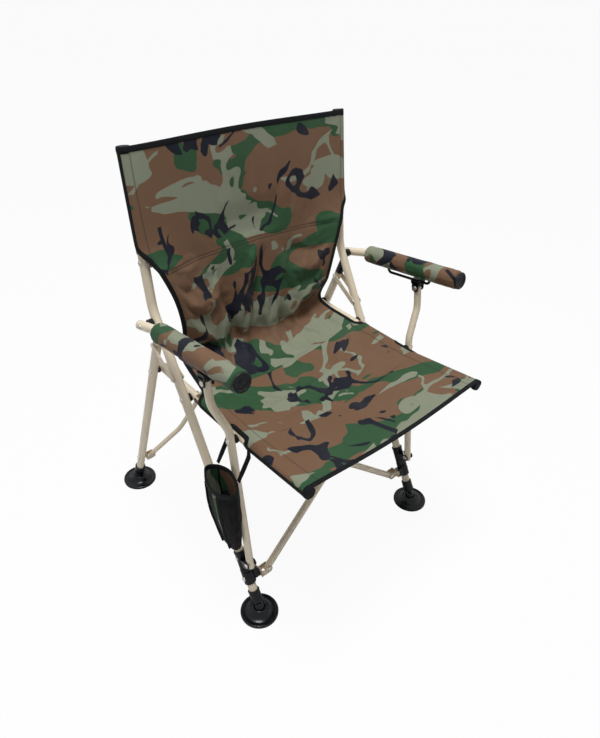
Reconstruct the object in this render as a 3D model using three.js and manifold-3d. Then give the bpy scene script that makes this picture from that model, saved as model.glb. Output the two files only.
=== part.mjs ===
// Folding carp fishing chair: two tube side frames, joined by crossed tubes at the front and rear,
// with a sling seat and back, foam arms on sliding posts, swivel mud feet and a hanging cup pocket.
// Millimetres, +Z up, the sitter faces -Y. The origin is on the floor, midway between the side frames.
import * as THREE from "three";
import { mergeVertices } from "three/addons/utils/BufferGeometryUtils.js";
import Module from "manifold-3d";

const wasm = await Module();
wasm.setup();

// Driving dimensions: lateral planes, measured from the middle of the chair
const uprightX = 255;
const railX = 233;
const armX = 284;

// Tubes
const wall = 1.1;
const uprightRadius = 9.5;
const rearLegRadius = 9.5;
const railRadius = 9;
const postRadius = 8;
const armRadius = 9.5;
const frontCrossRadius = 7.75;
const rearCrossRadius = 6;
const clearance = 0.3;

// Upright: the front leg runs straight up into the back tube, in one bent tube
const frontFootY = -237;
const uprightLean = THREE.MathUtils.degToRad(28.8);
const upperLean = THREE.MathUtils.degToRad(7);
const uprightBendAlong = 705;
const uprightBendRadius = 100;
const upperLength = 299;
const frontCrossAlong = 100;
const sliderAlong = 140.5;
const seatPivotDrop = 190;
const linkBoltDrop = 143.5;
const armPivotDrop = 25;
const rearCrossRise = 94.12;
const seatPivotAlong = uprightBendAlong - seatPivotDrop;
const linkBoltAlong = uprightBendAlong - linkBoltDrop;
const armPivotAlong = uprightBendAlong - armPivotDrop;

// Seat rail, measured from its pivot on the upright
const railTilt = THREE.MathUtils.degToRad(1.4);
const railRearReach = 140;
const rearLegReach = 122;
const postReach = 155;
const railBendReach = 190;
const railFrontReach = 353;
const railFrontRise = 18;
const railFrontSplay = 5;
const railBendRadius = 200;

// Rear leg, measured along it
const rearFootY = 306;
const rearLegTopReach = 88;
const rearCrossAlong = 116;

// Arm, measured from its pivot on the upright
const armPitch = THREE.MathUtils.degToRad(7.1);
const armRearReach = 17;
const armBendReach = 48;
const armRise = 7.2;
const armFrontReach = 316;
const armBendRadius = 90;
const sleeveRadius = 20.5;
const sleeveRearReach = 58;
const sleeveRound = 4;
const railDrop = 29;
const railWireRadius = 3;
const railRearLeg = 122;
const railFrontLeg = 240;
const railWireBend = 9;
const runnerPinDrop = 44;

// Arm post
const earReach = 30;
const postEndReach = 9;
const postTopReach = 3;
const jogStart = 22;
const jogEnd = 92;
const postBendRadius = 55;

// Crossed tubes and their clevises
const frontPinX = 210;
const rearPinX = 230;
const upperPinDrop = 10;
const crossGap = 1;
const crossEndReach = 7;
const crossBendRadius = 60;
const rearKneeIn = 84;
const rearKneeUp = 53;
const clevisPlate = 2;
const clevisHalfHeight = 9.5;
const clevisEarRadius = 7.5;
const clevisPinRadius = 2.5;
const saddleFaceX = 231;

// Rivets
const rivetRadius = 3;
const rivetHeadRadius = 5.6;
const rivetHeadHeight = 1.7;
const flatHeadHeight = 1.2;

// Feet
const footRadius = 42;
const footHeight = 8;
const ballHeight = 20;
const ballRadius = 11;
const ferruleRadius = 13;
const ferruleLength = 44;
const ferruleSeat = 19;

// Fabric
const cloth = 2;
const hem = 1.6;
const sleeveEndRise = 117.08;
const backSeamTurn = THREE.MathUtils.degToRad(45);
const gatherInset = 24;
const gatherAhead = 17.64;
const gatherRise = 84.21;
const waistInset = 38;
const waistAhead = 23.64;
const waistRise = 10.21;
const creaseInset = 29;
const creaseBehind = 90.9;
const creaseRise = 34.7;
const backSag = 46;
const seatSag = 36;
const seatFrontSag = 14;

// Cup pocket on the right arm post
const pocketInnerX = 270;
const pocketDepth = 44;
const pocketLength = 94;
const pocketHeight = 185;
const pocketRearReach = 31.9;
const pocketTopDrop = 59.5;
const pocketMouthDrop = 22;
const pocketWall = 2;
const strapWidth = 11;
const strapThickness = 1.6;
const strapRearInset = 8;
const strapGap = 66;
const strapTopRise = 2.5;
const strapStraight = 18;
const strapBendRadius = 12;

// Facets
const tubeSides = 12;
const boreSides = 8;
const smallSides = 8;
const crossSides = 9;
const roundSides = 16;
const footSides = 16;
const bendStep = THREE.MathUtils.degToRad(15);
const overrun = 5;

// A faceted bore's flats stay clear of what passes through it
const boreFor = (radius, sides) => (radius + clearance) / Math.cos(Math.PI / sides);

// Points of the side frame as (y, z) in the side plane
const along = (origin, lean, distance, ahead = 0) =>
  new THREE.Vector2(
    origin.x + distance * Math.sin(lean) - ahead * Math.cos(lean),
    origin.y + distance * Math.cos(lean) + ahead * Math.sin(lean),
  );
const leanOf = (from, to) => Math.atan2(to.x - from.x, to.y - from.y);

const frontFoot = new THREE.Vector2(frontFootY, 0);
const rearFoot = new THREE.Vector2(rearFootY, 0);
const seatPivot = along(frontFoot, uprightLean, seatPivotAlong);
const linkBolt = along(frontFoot, uprightLean, linkBoltAlong);
const armPivot = along(frontFoot, uprightLean, armPivotAlong);
const uprightBend = along(frontFoot, uprightLean, uprightBendAlong);
const sliderPin = along(frontFoot, uprightLean, sliderAlong, earReach);
const frontCrossFoot = along(frontFoot, uprightLean, frontCrossAlong);
const rearCrossTop = along(uprightBend, upperLean, rearCrossRise);
const railPoint = (reach) =>
  new THREE.Vector2(seatPivot.x + reach * Math.cos(railTilt), seatPivot.y + reach * Math.sin(railTilt));
const rearLegPivot = railPoint(rearLegReach);
const postPivot = railPoint(-postReach);
const rearLegLean = leanOf(rearFoot, rearLegPivot);
const rearLegPivotAlong = rearFoot.distanceTo(rearLegPivot);
const linkTop = along(rearFoot, rearLegLean, rearLegPivotAlong + rearLegTopReach);
const rearCrossFoot = along(rearFoot, rearLegLean, rearCrossAlong);
const postLean = leanOf(sliderPin, postPivot);
const postPivotAlong = sliderPin.distanceTo(postPivot);
const frontCrossLean = leanOf(frontCrossFoot, postPivot);
const frontCrossHeight = frontCrossFoot.distanceTo(postPivot) - upperPinDrop;
const rearCrossLean = leanOf(rearCrossFoot, rearCrossTop);
const rearCrossHeight = rearCrossFoot.distanceTo(rearCrossTop);

// The runner pin is where the post's line meets the runner's line under the arm
const runnerPinAlong = (() => {
  const forward = new THREE.Vector2(-Math.cos(armPitch), Math.sin(armPitch));
  const up = new THREE.Vector2(Math.sin(armPitch), Math.cos(armPitch));
  const onLine = armPivot.clone().addScaledVector(up, armRise - runnerPinDrop);
  const post = new THREE.Vector2(Math.sin(postLean), Math.cos(postLean));
  const gap = onLine.clone().sub(sliderPin);
  return (gap.x * forward.y - gap.y * forward.x) / (post.x * forward.y - post.y * forward.x);
})();
const runnerPin = along(sliderPin, postLean, runnerPinAlong);
const runnerReach =
  (armPivot.x - runnerPin.x) * Math.cos(armPitch) + (runnerPin.y - armPivot.y) * Math.sin(armPitch);

// Finishes
const finish = (color, roughness, metalness) =>
  new THREE.MeshStandardMaterial({ color, roughness, metalness });
const creamPaint = finish(0xe2d4bc, 0.4, 0.1);
const steel = finish(0xb9b4aa, 0.35, 0.8);
const blackPlastic = finish(0x15161a, 0.35, 0);
const blackRubber = finish(0x1a1b1d, 0.55, 0);
const camoCloth = finish(0x6b5a48, 0.85, 0);
const blackWebbing = finish(0x14151a, 0.8, 0);

// Solids from three.js geometry, and back again
function solid(geometry) {
  const bare = geometry.index ? geometry.toNonIndexed() : geometry.clone();
  bare.deleteAttribute("normal");
  bare.deleteAttribute("uv");
  const welded = mergeVertices(bare, clearance / 1000);
  const vertProperties = new Float32Array(welded.attributes.position.array);
  const triVerts = new Uint32Array(welded.index.array);
  const made = new wasm.Manifold(new wasm.Mesh({ numProp: 3, vertProperties, triVerts }));
  if (made.volume() > 0) return made;
  for (let i = 0; i < triVerts.length; i += 3) {
    [triVerts[i + 1], triVerts[i + 2]] = [triVerts[i + 2], triVerts[i + 1]];
  }
  return new wasm.Manifold(new wasm.Mesh({ numProp: 3, vertProperties, triVerts }));
}

function geometryOf(manifold) {
  const mesh = manifold.getMesh();
  const geometry = new THREE.BufferGeometry();
  const points = new Float32Array(mesh.vertProperties);
  geometry.setAttribute("position", new THREE.BufferAttribute(points, mesh.numProp));
  geometry.setIndex(new THREE.BufferAttribute(new Uint32Array(mesh.triVerts), 1));
  geometry.computeVertexNormals();
  return geometry;
}

function add(group, name, manifold, material) {
  const mesh = new THREE.Mesh(geometryOf(manifold), material);
  mesh.name = name;
  group.add(mesh);
  return mesh;
}

const union = (...solids) => solids.reduce((all, next) => all.add(next));
const cut = (body, ...tools) => tools.reduce((left, tool) => left.subtract(tool), body);

// A frame is a group turned about X and set on a point of the side plane
function frame(parent, x, point, lean) {
  const group = new THREE.Group();
  group.position.set(x, point.x, point.y);
  group.rotation.x = -lean;
  parent.add(group);
  return group;
}

const circle = (radius, sides) =>
  Array.from({ length: sides }, (_, i) => {
    const turn = ((i + 0.5) / sides) * 2 * Math.PI;
    return new THREE.Vector2(radius * Math.cos(turn), radius * Math.sin(turn));
  });

// A path through corner points, with each corner rounded to an arc
class BentPath extends THREE.Curve {
  constructor(corners, bendRadius) {
    super();
    this.stations = [{ point: corners[0], tangent: corners[1].clone().sub(corners[0]).normalize() }];
    for (let i = 1; i < corners.length - 1; i += 1) {
      this.addBend(corners[i - 1], corners[i], corners[i + 1], bendRadius);
    }
    const last = corners[corners.length - 1];
    this.stations.push({ point: last, tangent: last.clone().sub(corners[corners.length - 2]).normalize() });
    this.steps = this.stations.length - 1;
  }

  addBend(before, corner, after, bendRadius) {
    const entry = corner.clone().sub(before).normalize();
    const exit = after.clone().sub(corner).normalize();
    const angle = entry.angleTo(exit);
    const setback = bendRadius * Math.tan(angle / 2);
    const start = corner.clone().addScaledVector(entry, -setback);
    const inward = exit.clone().addScaledVector(entry, -exit.dot(entry)).normalize();
    const steps = Math.ceil(angle / bendStep);
    for (let step = 0; step <= steps; step += 1) {
      const turn = (angle * step) / steps;
      this.stations.push({
        point: start
          .clone()
          .addScaledVector(entry, bendRadius * Math.sin(turn))
          .addScaledVector(inward, bendRadius * (1 - Math.cos(turn))),
        tangent: entry.clone().multiplyScalar(Math.cos(turn)).addScaledVector(inward, Math.sin(turn)),
      });
    }
  }

  station(u) {
    return this.stations[Math.round(u * this.steps)];
  }

  getPointAt(u, target = new THREE.Vector3()) {
    return target.copy(this.station(u).point);
  }

  getTangentAt(u, target = new THREE.Vector3()) {
    return target.copy(this.station(u).tangent);
  }
}

function rodAlong(corners, bendRadius, radius, sides = tubeSides, bore = 0) {
  const path = new BentPath(corners, bendRadius);
  const shape = new THREE.Shape(circle(radius, sides));
  if (bore > 0) shape.holes.push(new THREE.Path(circle(bore, boreSides)));
  return solid(new THREE.ExtrudeGeometry(shape, { steps: path.steps, extrudePath: path, curveSegments: 1 }));
}

// An open tube, or one whose rear end is closed by a thin disc of the same metal
function tubeAlong(corners, bendRadius, radius, capStart = false) {
  const tube = rodAlong(corners, bendRadius, radius, tubeSides, radius - wall);
  if (!capStart) return tube;
  const inner = corners[0].clone().add(corners[1].clone().sub(corners[0]).setLength(wall));
  return tube.add(rodAlong([corners[0], inner], 0, radius - wall / 2, boreSides));
}

const at = (x, y, z) => new THREE.Vector3(x, y, z);
const rodX = (x0, x1, y, z, radius, sides = smallSides) =>
  rodAlong([at(x0, y, z), at(x1, y, z)], 0, radius, sides);
const rodY = (y0, y1, x, z, radius, sides = smallSides) =>
  rodAlong([at(x, y0, z), at(x, y1, z)], 0, radius, sides);

function block(x0, x1, y0, y1, z0, z1) {
  const geometry = new THREE.BoxGeometry(x1 - x0, y1 - y0, z1 - z0);
  return solid(geometry.translate((x0 + x1) / 2, (y0 + y1) / 2, (z0 + z1) / 2));
}

// A profile of (radius, height) pairs turned about Z
function turned(profile, sides = tubeSides) {
  const points = profile.map(([radius, height]) => new THREE.Vector2(radius, height));
  return solid(new THREE.LatheGeometry(points, sides).rotateX(Math.PI / 2));
}

// A domed rivet head on a face at x, standing towards the sign of its height
function headX(x, y, z, height, radius = rivetHeadRadius) {
  const profile = [
    [0, -height / 2],
    [radius / 2, -height / 2],
    [radius / 2, 0],
    [radius, 0],
    [radius * 0.7, height],
    [0, height],
  ];
  const geometry = new THREE.LatheGeometry(
    profile.map(([r, h]) => new THREE.Vector2(r, h)),
    smallSides,
  );
  return solid(geometry.rotateZ(-Math.PI / 2).translate(x, y, z));
}

// The same along Y, with its rim let into the face, which lies askew in the part's frame
function headY(y, x, z, height, radius = rivetHeadRadius) {
  const profile = [
    [0, -height / 2],
    [radius, -height / 2],
    [radius, height / 4],
    [radius * 0.7, height],
    [0, height],
  ];
  const geometry = new THREE.LatheGeometry(
    profile.map(([r, h]) => new THREE.Vector2(r, h)),
    smallSides,
  );
  return solid(geometry.translate(x, y, z));
}

// A lateral rivet from an inner face to an outer face, with a head on each
function rivetX(inner, outer, y, z, headHeight = rivetHeadHeight) {
  return union(
    rodX(inner - headHeight / 2, outer + headHeight / 2, y, z, rivetRadius),
    headX(inner, y, z, -headHeight),
    headX(outer, y, z, headHeight),
  );
}

// A rivet shank that stands out of a wall, from inside the wall to a head on a far face
function studX(from, face, y, z, headHeight = rivetHeadHeight) {
  const outward = Math.sign(face - from);
  return union(
    rodX(from, face + (outward * headHeight) / 2, y, z, rivetRadius),
    headX(face, y, z, outward * headHeight),
  );
}

const boreX = (x0, x1, y, z) => rodX(x0 - overrun, x1 + overrun, y, z, rivetRadius + clearance);

function ringX(x0, x1, y, z, radius, bore) {
  return cut(rodX(x0, x1, y, z, radius, tubeSides), rodX(x0 - overrun, x1 + overrun, y, z, bore));
}

// Upright, in its own frame: Z runs up the tube, -Y is ahead of it
const upperTurn = uprightLean - upperLean;
const onUpper = (distance) =>
  at(0, -distance * Math.sin(upperTurn), uprightBendAlong + distance * Math.cos(upperTurn));
const frontBallAlong = ballHeight / Math.cos(uprightLean);
const rearBallAlong = ballHeight / Math.cos(rearLegLean);
const plateThickness = 2;
const plateOuterX = uprightRadius + clearance;
const railInnerX = railX - railRadius - uprightX - clearance;

function upright() {
  const foot = at(0, 0, frontBallAlong + ferruleSeat + clearance);
  const corners = [foot, at(0, 0, uprightBendAlong), onUpper(upperLength)];
  const tube = tubeAlong(corners, uprightBendRadius, uprightRadius);
  const q = onUpper(rearCrossRise);
  const skin = uprightRadius - wall / 2;
  const plateFace = plateOuterX + plateThickness + clearance;
  return union(
    cut(tube, boreX(-uprightRadius, uprightRadius, 0, frontCrossAlong)),
    studX(-skin, railInnerX, 0, seatPivotAlong, flatHeadHeight),
    headX(skin, 0, seatPivotAlong, flatHeadHeight + wall / 2),
    studX(-skin, -plateFace, 0, linkBoltAlong, flatHeadHeight),
    studX(skin, plateFace, 0, linkBoltAlong, flatHeadHeight),
    headX(skin, q.y, q.z, rivetHeadHeight),
    rodX(skin, armX - uprightX - armRadius - clearance, 0, armPivotAlong, rivetRadius),
  );
}

// Slider: a sleeve on the upright with two ears ahead that hold the foot of the arm post
const sleeveBore = boreFor(uprightRadius, tubeSides);
const sliderHalf = 25;
const sliderRadius = 13;
const earThickness = 2.5;
const earRadius = 8.5;

function slider() {
  const low = sliderAlong - sliderHalf + clearance;
  const high = sliderAlong + sliderHalf;
  const sleeve = turned([
    [sleeveBore, low],
    [sliderRadius, low],
    [sliderRadius, high - 1.5 * wall],
    [sliderRadius - 1.5 * wall, high],
    [sleeveBore, high],
    [sleeveBore, low],
  ]);
  const ears = [-1, 1].map((side) => {
    const inner = postRadius + clearance;
    const faces = side > 0 ? [inner, inner + earThickness] : [-inner - earThickness, -inner];
    const tongue = block(faces[0], faces[1], -earReach, 0, sliderAlong - earRadius, sliderAlong + earRadius);
    return union(tongue, rodX(faces[0], faces[1], -earReach, sliderAlong, earRadius, tubeSides));
  });
  const bore = rodAlong([at(0, 0, low - overrun), at(0, 0, high + overrun)], 0, sleeveBore);
  const outer = postRadius + clearance + earThickness;
  return union(cut(union(sleeve, ...ears), bore), rivetX(-outer, outer, -earReach, sliderAlong));
}

// Saddle: a band fixed on the upright, with a flat boss that the front clevis turns against
const saddleHalf = 15;
const saddleBossHalf = 10;

function frontSaddle() {
  const bossFace = saddleFaceX - uprightX;
  const band = rodAlong(
    [at(0, 0, frontCrossAlong - saddleHalf), at(0, 0, frontCrossAlong + saddleHalf - clearance)],
    0,
    sliderRadius,
  );
  const boss = block(
    bossFace,
    0,
    -saddleBossHalf,
    saddleBossHalf,
    frontCrossAlong - saddleBossHalf,
    frontCrossAlong + saddleBossHalf,
  );
  const bore = rodAlong(
    [at(0, 0, frontCrossAlong - saddleHalf - overrun), at(0, 0, frontCrossAlong + saddleHalf + overrun)],
    0,
    sleeveBore,
  );
  return cut(union(band, boss), bore, boreX(bossFace, sliderRadius, 0, frontCrossAlong));
}

// Ferrule on a leg's end with its ball, in the leg's frame moved to the ball's centre
const neckRadius = 5.5;
const flareHeight = 15;
const ballSteps = 4;

function ferrule() {
  const low = -Math.PI / 2;
  const ball = Array.from({ length: ballSteps + 1 }, (_, i) => {
    const turn = low + ((Math.acos(neckRadius / ballRadius) - low) * i) / ballSteps;
    return [i === 0 ? 0 : ballRadius * Math.cos(turn), ballRadius * Math.sin(turn)];
  });
  return turned([
    ...ball,
    [neckRadius, flareHeight - wall],
    [ferruleRadius - wall, flareHeight],
    [ferruleRadius, flareHeight + 2 * wall],
    [ferruleRadius - wall / 2, ferruleLength - wall],
    [ferruleRadius - wall, ferruleLength],
    [sleeveBore, ferruleLength],
    [sleeveBore, ferruleSeat],
    [0, ferruleSeat],
  ]);
}

// Foot: a wide disc with a stepped rim and a socket round the ball
const socketLip = 1.2;
const socketSteps = 4;
const hubRadius = 15;

function foot() {
  const low = -ballHeight;
  const rimTop = low + footHeight;
  const start = Math.asin(socketLip / ballRadius);
  const turnStep = (start + Math.PI / 2) / socketSteps;
  const socketRadius = boreFor(ballRadius, footSides) / Math.cos(turnStep / 2);
  const socket = Array.from({ length: socketSteps + 1 }, (_, i) => [
    i === socketSteps ? 0 : socketRadius * Math.cos(start - turnStep * i),
    socketRadius * Math.sin(start - turnStep * i),
  ]);
  const profile = [
    [0, low],
    [footRadius - wall, low],
    [footRadius, low + wall],
    [footRadius, rimTop - 2 * wall],
    [footRadius - 2 * wall, rimTop],
    [footRadius - 5 * wall, rimTop],
    [footRadius - 6 * wall, rimTop - wall],
    [hubRadius + 5 * wall, rimTop + wall],
    [hubRadius + wall, socketLip - 3 * wall],
    [hubRadius, socketLip],
    ...socket,
  ];
  return turned(profile, footSides);
}

// Rear leg, in its own frame
const rearLegTopEnd = 12;
const saddleTipInset = 4;
const linkHalfWidth = 6.5;
const plugStub = 14;
const plugRadius = (rearLegRadius - wall) * Math.cos(Math.PI / boreSides) - clearance;

function rearLeg() {
  const low = at(0, 0, rearBallAlong + ferruleSeat + clearance);
  const high = at(0, 0, rearLegPivotAlong + rearLegTopReach + rearLegTopEnd);
  const tube = tubeAlong([low, high], 0, rearLegRadius);
  return union(
    cut(tube, boreX(-rearLegRadius, rearLegRadius, 0, rearCrossAlong)),
    studX(-rearLegRadius + wall / 2, railInnerX, 0, rearLegPivotAlong, flatHeadHeight),
    headX(rearLegRadius - wall / 2, 0, rearLegPivotAlong, flatHeadHeight + wall / 2),
  );
}

// Plug in the rear leg's top, whose hollow end bears on the back of the upright
function legSaddle() {
  const top = rearLegPivotAlong + rearLegTopReach;
  const toUpright = linkTop.clone().sub(frontFoot);
  const behind = toUpright.x * Math.cos(uprightLean) - toUpright.y * Math.sin(uprightLean);
  const between = uprightLean - rearLegLean;
  const meeting = top + behind / Math.sin(between);
  const tubeEnd = top + rearLegTopEnd;
  const stub = [at(0, 0, tubeEnd - plugStub), at(0, 0, tubeEnd + overrun)];
  const body = [at(0, 0, tubeEnd + clearance), at(0, 0, meeting - saddleTipInset)];
  const uprightRun = uprightRadius * 10;
  const axis = at(0, Math.sin(between), Math.cos(between));
  const notch = rodAlong(
    [
      at(0, 0, meeting).addScaledVector(axis, -uprightRun),
      at(0, 0, meeting).addScaledVector(axis, uprightRun),
    ],
    0,
    boreFor(uprightRadius, tubeSides),
  );
  return cut(union(rodAlong(stub, 0, plugRadius), rodAlong(body, 0, rearLegRadius)), notch);
}

// Link: a thin plate with round ends, from the upright's bolt to the rear leg's top
function link(inner) {
  const length = linkBolt.distanceTo(linkTop);
  const low = inner ? -plateOuterX - plateThickness : plateOuterX;
  const high = low + plateThickness;
  const bar = union(
    block(low, high, -linkHalfWidth, linkHalfWidth, 0, length),
    rodX(low, high, 0, 0, linkHalfWidth, tubeSides),
    rodX(low, high, 0, length, linkHalfWidth, tubeSides),
  );
  const head = inner ? headX(low, 0, length, -flatHeadHeight) : headX(high, 0, length, flatHeadHeight);
  return union(cut(bar, boreX(low, high, 0, 0)), head);
}

// Seat rail, in its own frame: +Y runs to the rear
const railCorners = (rear, front) => [
  at(0, rear, 0),
  at(0, -railBendReach, 0),
  at(
    railFrontSplay * ((front - railBendReach) / (railFrontReach - railBendReach)),
    -front,
    railFrontRise * ((front - railBendReach) / (railFrontReach - railBendReach)),
  ),
];

function seatRail() {
  const tube = tubeAlong(railCorners(railRearReach, railFrontReach), railBendRadius, railRadius, true);
  return cut(
    tube,
    boreX(-railRadius, railRadius, 0, 0),
    boreX(-railRadius, railRadius, rearLegReach, 0),
    boreX(-railRadius, railRadius, -postReach, 0),
  );
}

// Arm post, in its own frame: straight to the seat rail, then stepped out under the arm
function armPost() {
  const step = armX - uprightX;
  const corners = [
    at(0, 0, -postEndReach),
    at(0, 0, postPivotAlong + jogStart),
    at(step, 0, postPivotAlong + jogEnd),
    at(step, 0, runnerPinAlong + postTopReach),
  ];
  const tube = rodAlong(corners, postBendRadius, postRadius);
  return union(
    cut(
      tube,
      boreX(-postRadius, postRadius, 0, 0),
      boreX(step - postRadius, step + postRadius, 0, runnerPinAlong),
    ),
    headX(postRadius - wall / 2, 0, postPivotAlong, flatHeadHeight + wall / 2),
  );
}

// Arm tube, in its own frame: -Y is ahead
const armCorners = (rear, front) => {
  const slope = armRise / armBendReach;
  return [at(0, rear, -rear * slope), at(0, -armBendReach, armRise), at(0, -front, armRise)];
};

function armTube() {
  return union(
    tubeAlong(armCorners(armRearReach, armFrontReach), armBendRadius, armRadius, true),
    headX(armRadius - wall / 2, 0, 0, rivetHeadHeight),
  );
}

function railWire() {
  const top = armRise - armRadius - clearance;
  const low = armRise - railDrop;
  const corners = [
    at(0, -railRearLeg, top),
    at(0, -railRearLeg, low),
    at(0, -railFrontLeg, low),
    at(0, -railFrontLeg, top),
  ];
  return rodAlong(corners, railWireBend, railWireRadius, smallSides);
}

function armSleeve() {
  const bore = boreFor(armRadius, tubeSides);
  const length = armFrontReach - sleeveRearReach - clearance;
  const foam = turned([
    [bore, 0],
    [sleeveRadius - sleeveRound, 0],
    [sleeveRadius - sleeveRound / 4, sleeveRound / 2],
    [sleeveRadius, sleeveRound * 2],
    [sleeveRadius, length - sleeveRound * 2],
    [sleeveRadius - sleeveRound / 4, length - sleeveRound / 2],
    [sleeveRadius - sleeveRound, length],
    [bore, length],
    [bore, 0],
  ]);
  const laid = foam.rotate([90, 0, 0]).translate([0, -sleeveRearReach, armRise]);
  const slits = [railRearLeg, railFrontLeg].map((reach) => {
    const ends = [at(0, -reach, armRise), at(0, -reach, armRise - railDrop)];
    return rodAlong(ends, 0, railWireRadius + clearance, smallSides);
  });
  return cut(laid, ...slits);
}

// Plug: a dished cap in the front end of the arm, with a stub in the tube
const plugLip = 4;

function armPlug() {
  const capRadius = sleeveRadius - sleeveRound / 2;
  const cap = turned([
    [0, -plugStub],
    [plugRadius, -plugStub],
    [plugRadius, 0],
    [capRadius, 0],
    [capRadius, plugLip - wall],
    [capRadius - wall, plugLip],
    [capRadius - 3 * wall, plugLip],
    [capRadius - 5 * wall, wall],
    [0, wall],
  ]);
  return cap.rotate([90, 0, 0]).translate([0, -armFrontReach - clearance, armRise]);
}

// Runner: a block on the arm's wire, with a fork below for the post's top
const runnerHalf = 12;
const runnerTop = 6.2;
const forkRadius = 9;

function runner() {
  const wireZ = armRise - railDrop;
  const pinZ = armRise - runnerPinDrop;
  const outer = postRadius + clearance + earThickness;
  const body = union(
    block(-outer, outer, -runnerReach - runnerHalf, -runnerReach + runnerHalf, pinZ, wireZ + runnerTop),
    rodX(-outer, outer, -runnerReach, pinZ, forkRadius, tubeSides),
  );
  const slot = block(
    -postRadius - clearance,
    postRadius + clearance,
    -runnerReach - runnerHalf - overrun,
    -runnerReach + runnerHalf + overrun,
    pinZ - 2 * forkRadius,
    pinZ + Math.hypot(postRadius, postTopReach) + 2 * clearance,
  );
  const bore = rodY(
    -runnerReach - runnerHalf - overrun,
    -runnerReach + runnerHalf + overrun,
    0,
    wireZ,
    railWireRadius + clearance,
  );
  return union(cut(body, slot, bore), rivetX(-outer, outer, -runnerReach, pinZ));
}

// A clevis ear, round at its pin and square at its root, from one Y to another
function ear(pinX, rootX, z, start) {
  const shape = new THREE.Shape();
  shape.moveTo(rootX, clevisEarRadius - z);
  shape.lineTo(pinX, clevisEarRadius - z);
  shape.absarc(pinX, -z, clevisEarRadius, Math.PI / 2, (3 * Math.PI) / 2, false);
  shape.lineTo(rootX, -clevisEarRadius - z);
  const flat = new THREE.ExtrudeGeometry(shape, {
    depth: clevisPlate,
    bevelEnabled: false,
    curveSegments: smallSides / 2,
  });
  return solid(flat.rotateX(-Math.PI / 2).translate(0, start, 0));
}

// Clevis: a plate against the side frame with two ears and a pin round a crossed tube's end.
// The plate's rivet is at the frame's origin, the pin may lie below it.
function clevis({ plateX, pinX, pinDrop, radius, layer, rivetTo }) {
  const inner = radius + clearance;
  const low = -pinDrop - clevisHalfHeight;
  const reach = Math.abs(layer) + inner + clevisPlate;
  const near = layer > 0 ? -clevisHalfHeight : -reach;
  const far = layer > 0 ? reach : clevisHalfHeight;
  const high = clevisHalfHeight - 0.7 * pinDrop;
  const plate = block(plateX - clevisPlate, plateX, near, far, low, high);
  const ears = [layer - inner - clevisPlate, layer + inner].map((start) =>
    ear(pinX, plateX - clevisPlate / 2, -pinDrop, start),
  );
  const outer = inner + clevisPlate;
  const pinReach = outer + rivetHeadHeight / 2;
  const pin = union(
    rodY(layer - pinReach, layer + pinReach, pinX, -pinDrop, clevisPinRadius),
    headY(layer - outer, pinX, -pinDrop, -rivetHeadHeight, 2 * clevisPinRadius),
    headY(layer + outer, pinX, -pinDrop, rivetHeadHeight, 2 * clevisPinRadius),
  );
  const parts = [plate, ...ears, pin];
  if (rivetTo) {
    parts.push(rodX(plateX - clevisPlate, rivetTo + flatHeadHeight / 2, 0, 0, rivetRadius));
    parts.push(headX(rivetTo, 0, 0, rivetHeadHeight));
  }
  return union(...parts);
}

// Crossed tube between two pins, in its cross frame, with a rivet head and a washer where it crosses
function crossTube(corners, radius, layer, height, washer) {
  const tube = rodAlong(corners, crossBendRadius, radius, crossSides);
  const outward = Math.sign(layer);
  const pins = [corners[0], corners[corners.length - 1]].map((end, i) => {
    const next = i === 0 ? corners[1] : corners[corners.length - 2];
    const pin = end.clone().add(next.clone().sub(end).setLength(crossEndReach));
    const reach = radius + overrun;
    return rodY(layer - reach, layer + reach, pin.x, pin.z, clevisPinRadius + clearance);
  });
  const face = radius * Math.cos(Math.PI / crossSides) - wall / 2;
  const outerFace = layer + outward * face;
  const innerFace = layer - outward * face;
  const parts = [cut(tube, ...pins), headY(outerFace, 0, height / 2, outward * rivetHeadHeight)];
  if (washer) {
    const washerFace = -outward * (crossGap / 2 - clearance);
    parts.push(rodY(innerFace, washerFace, 0, height / 2, rivetHeadRadius));
  }
  return union(...parts);
}

// Both pins lie on the end runs, an end reach inside the tube's ends
function crossCorners(pinX, layer, height, kneeIn = 0, kneeUp = 0) {
  const low = at(pinX, layer, 0);
  const high = at(-pinX, layer, height);
  const bends = [at(pinX - kneeIn, layer, kneeUp), at(kneeIn - pinX, layer, height - kneeUp)];
  const knees = kneeIn > 0 ? bends : [];
  const all = [low, ...knees, high];
  const start = low.clone().add(low.clone().sub(all[1]).setLength(crossEndReach));
  const end = high.clone().add(high.clone().sub(all[all.length - 2]).setLength(crossEndReach));
  return [start, ...knees, end];
}

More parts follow.
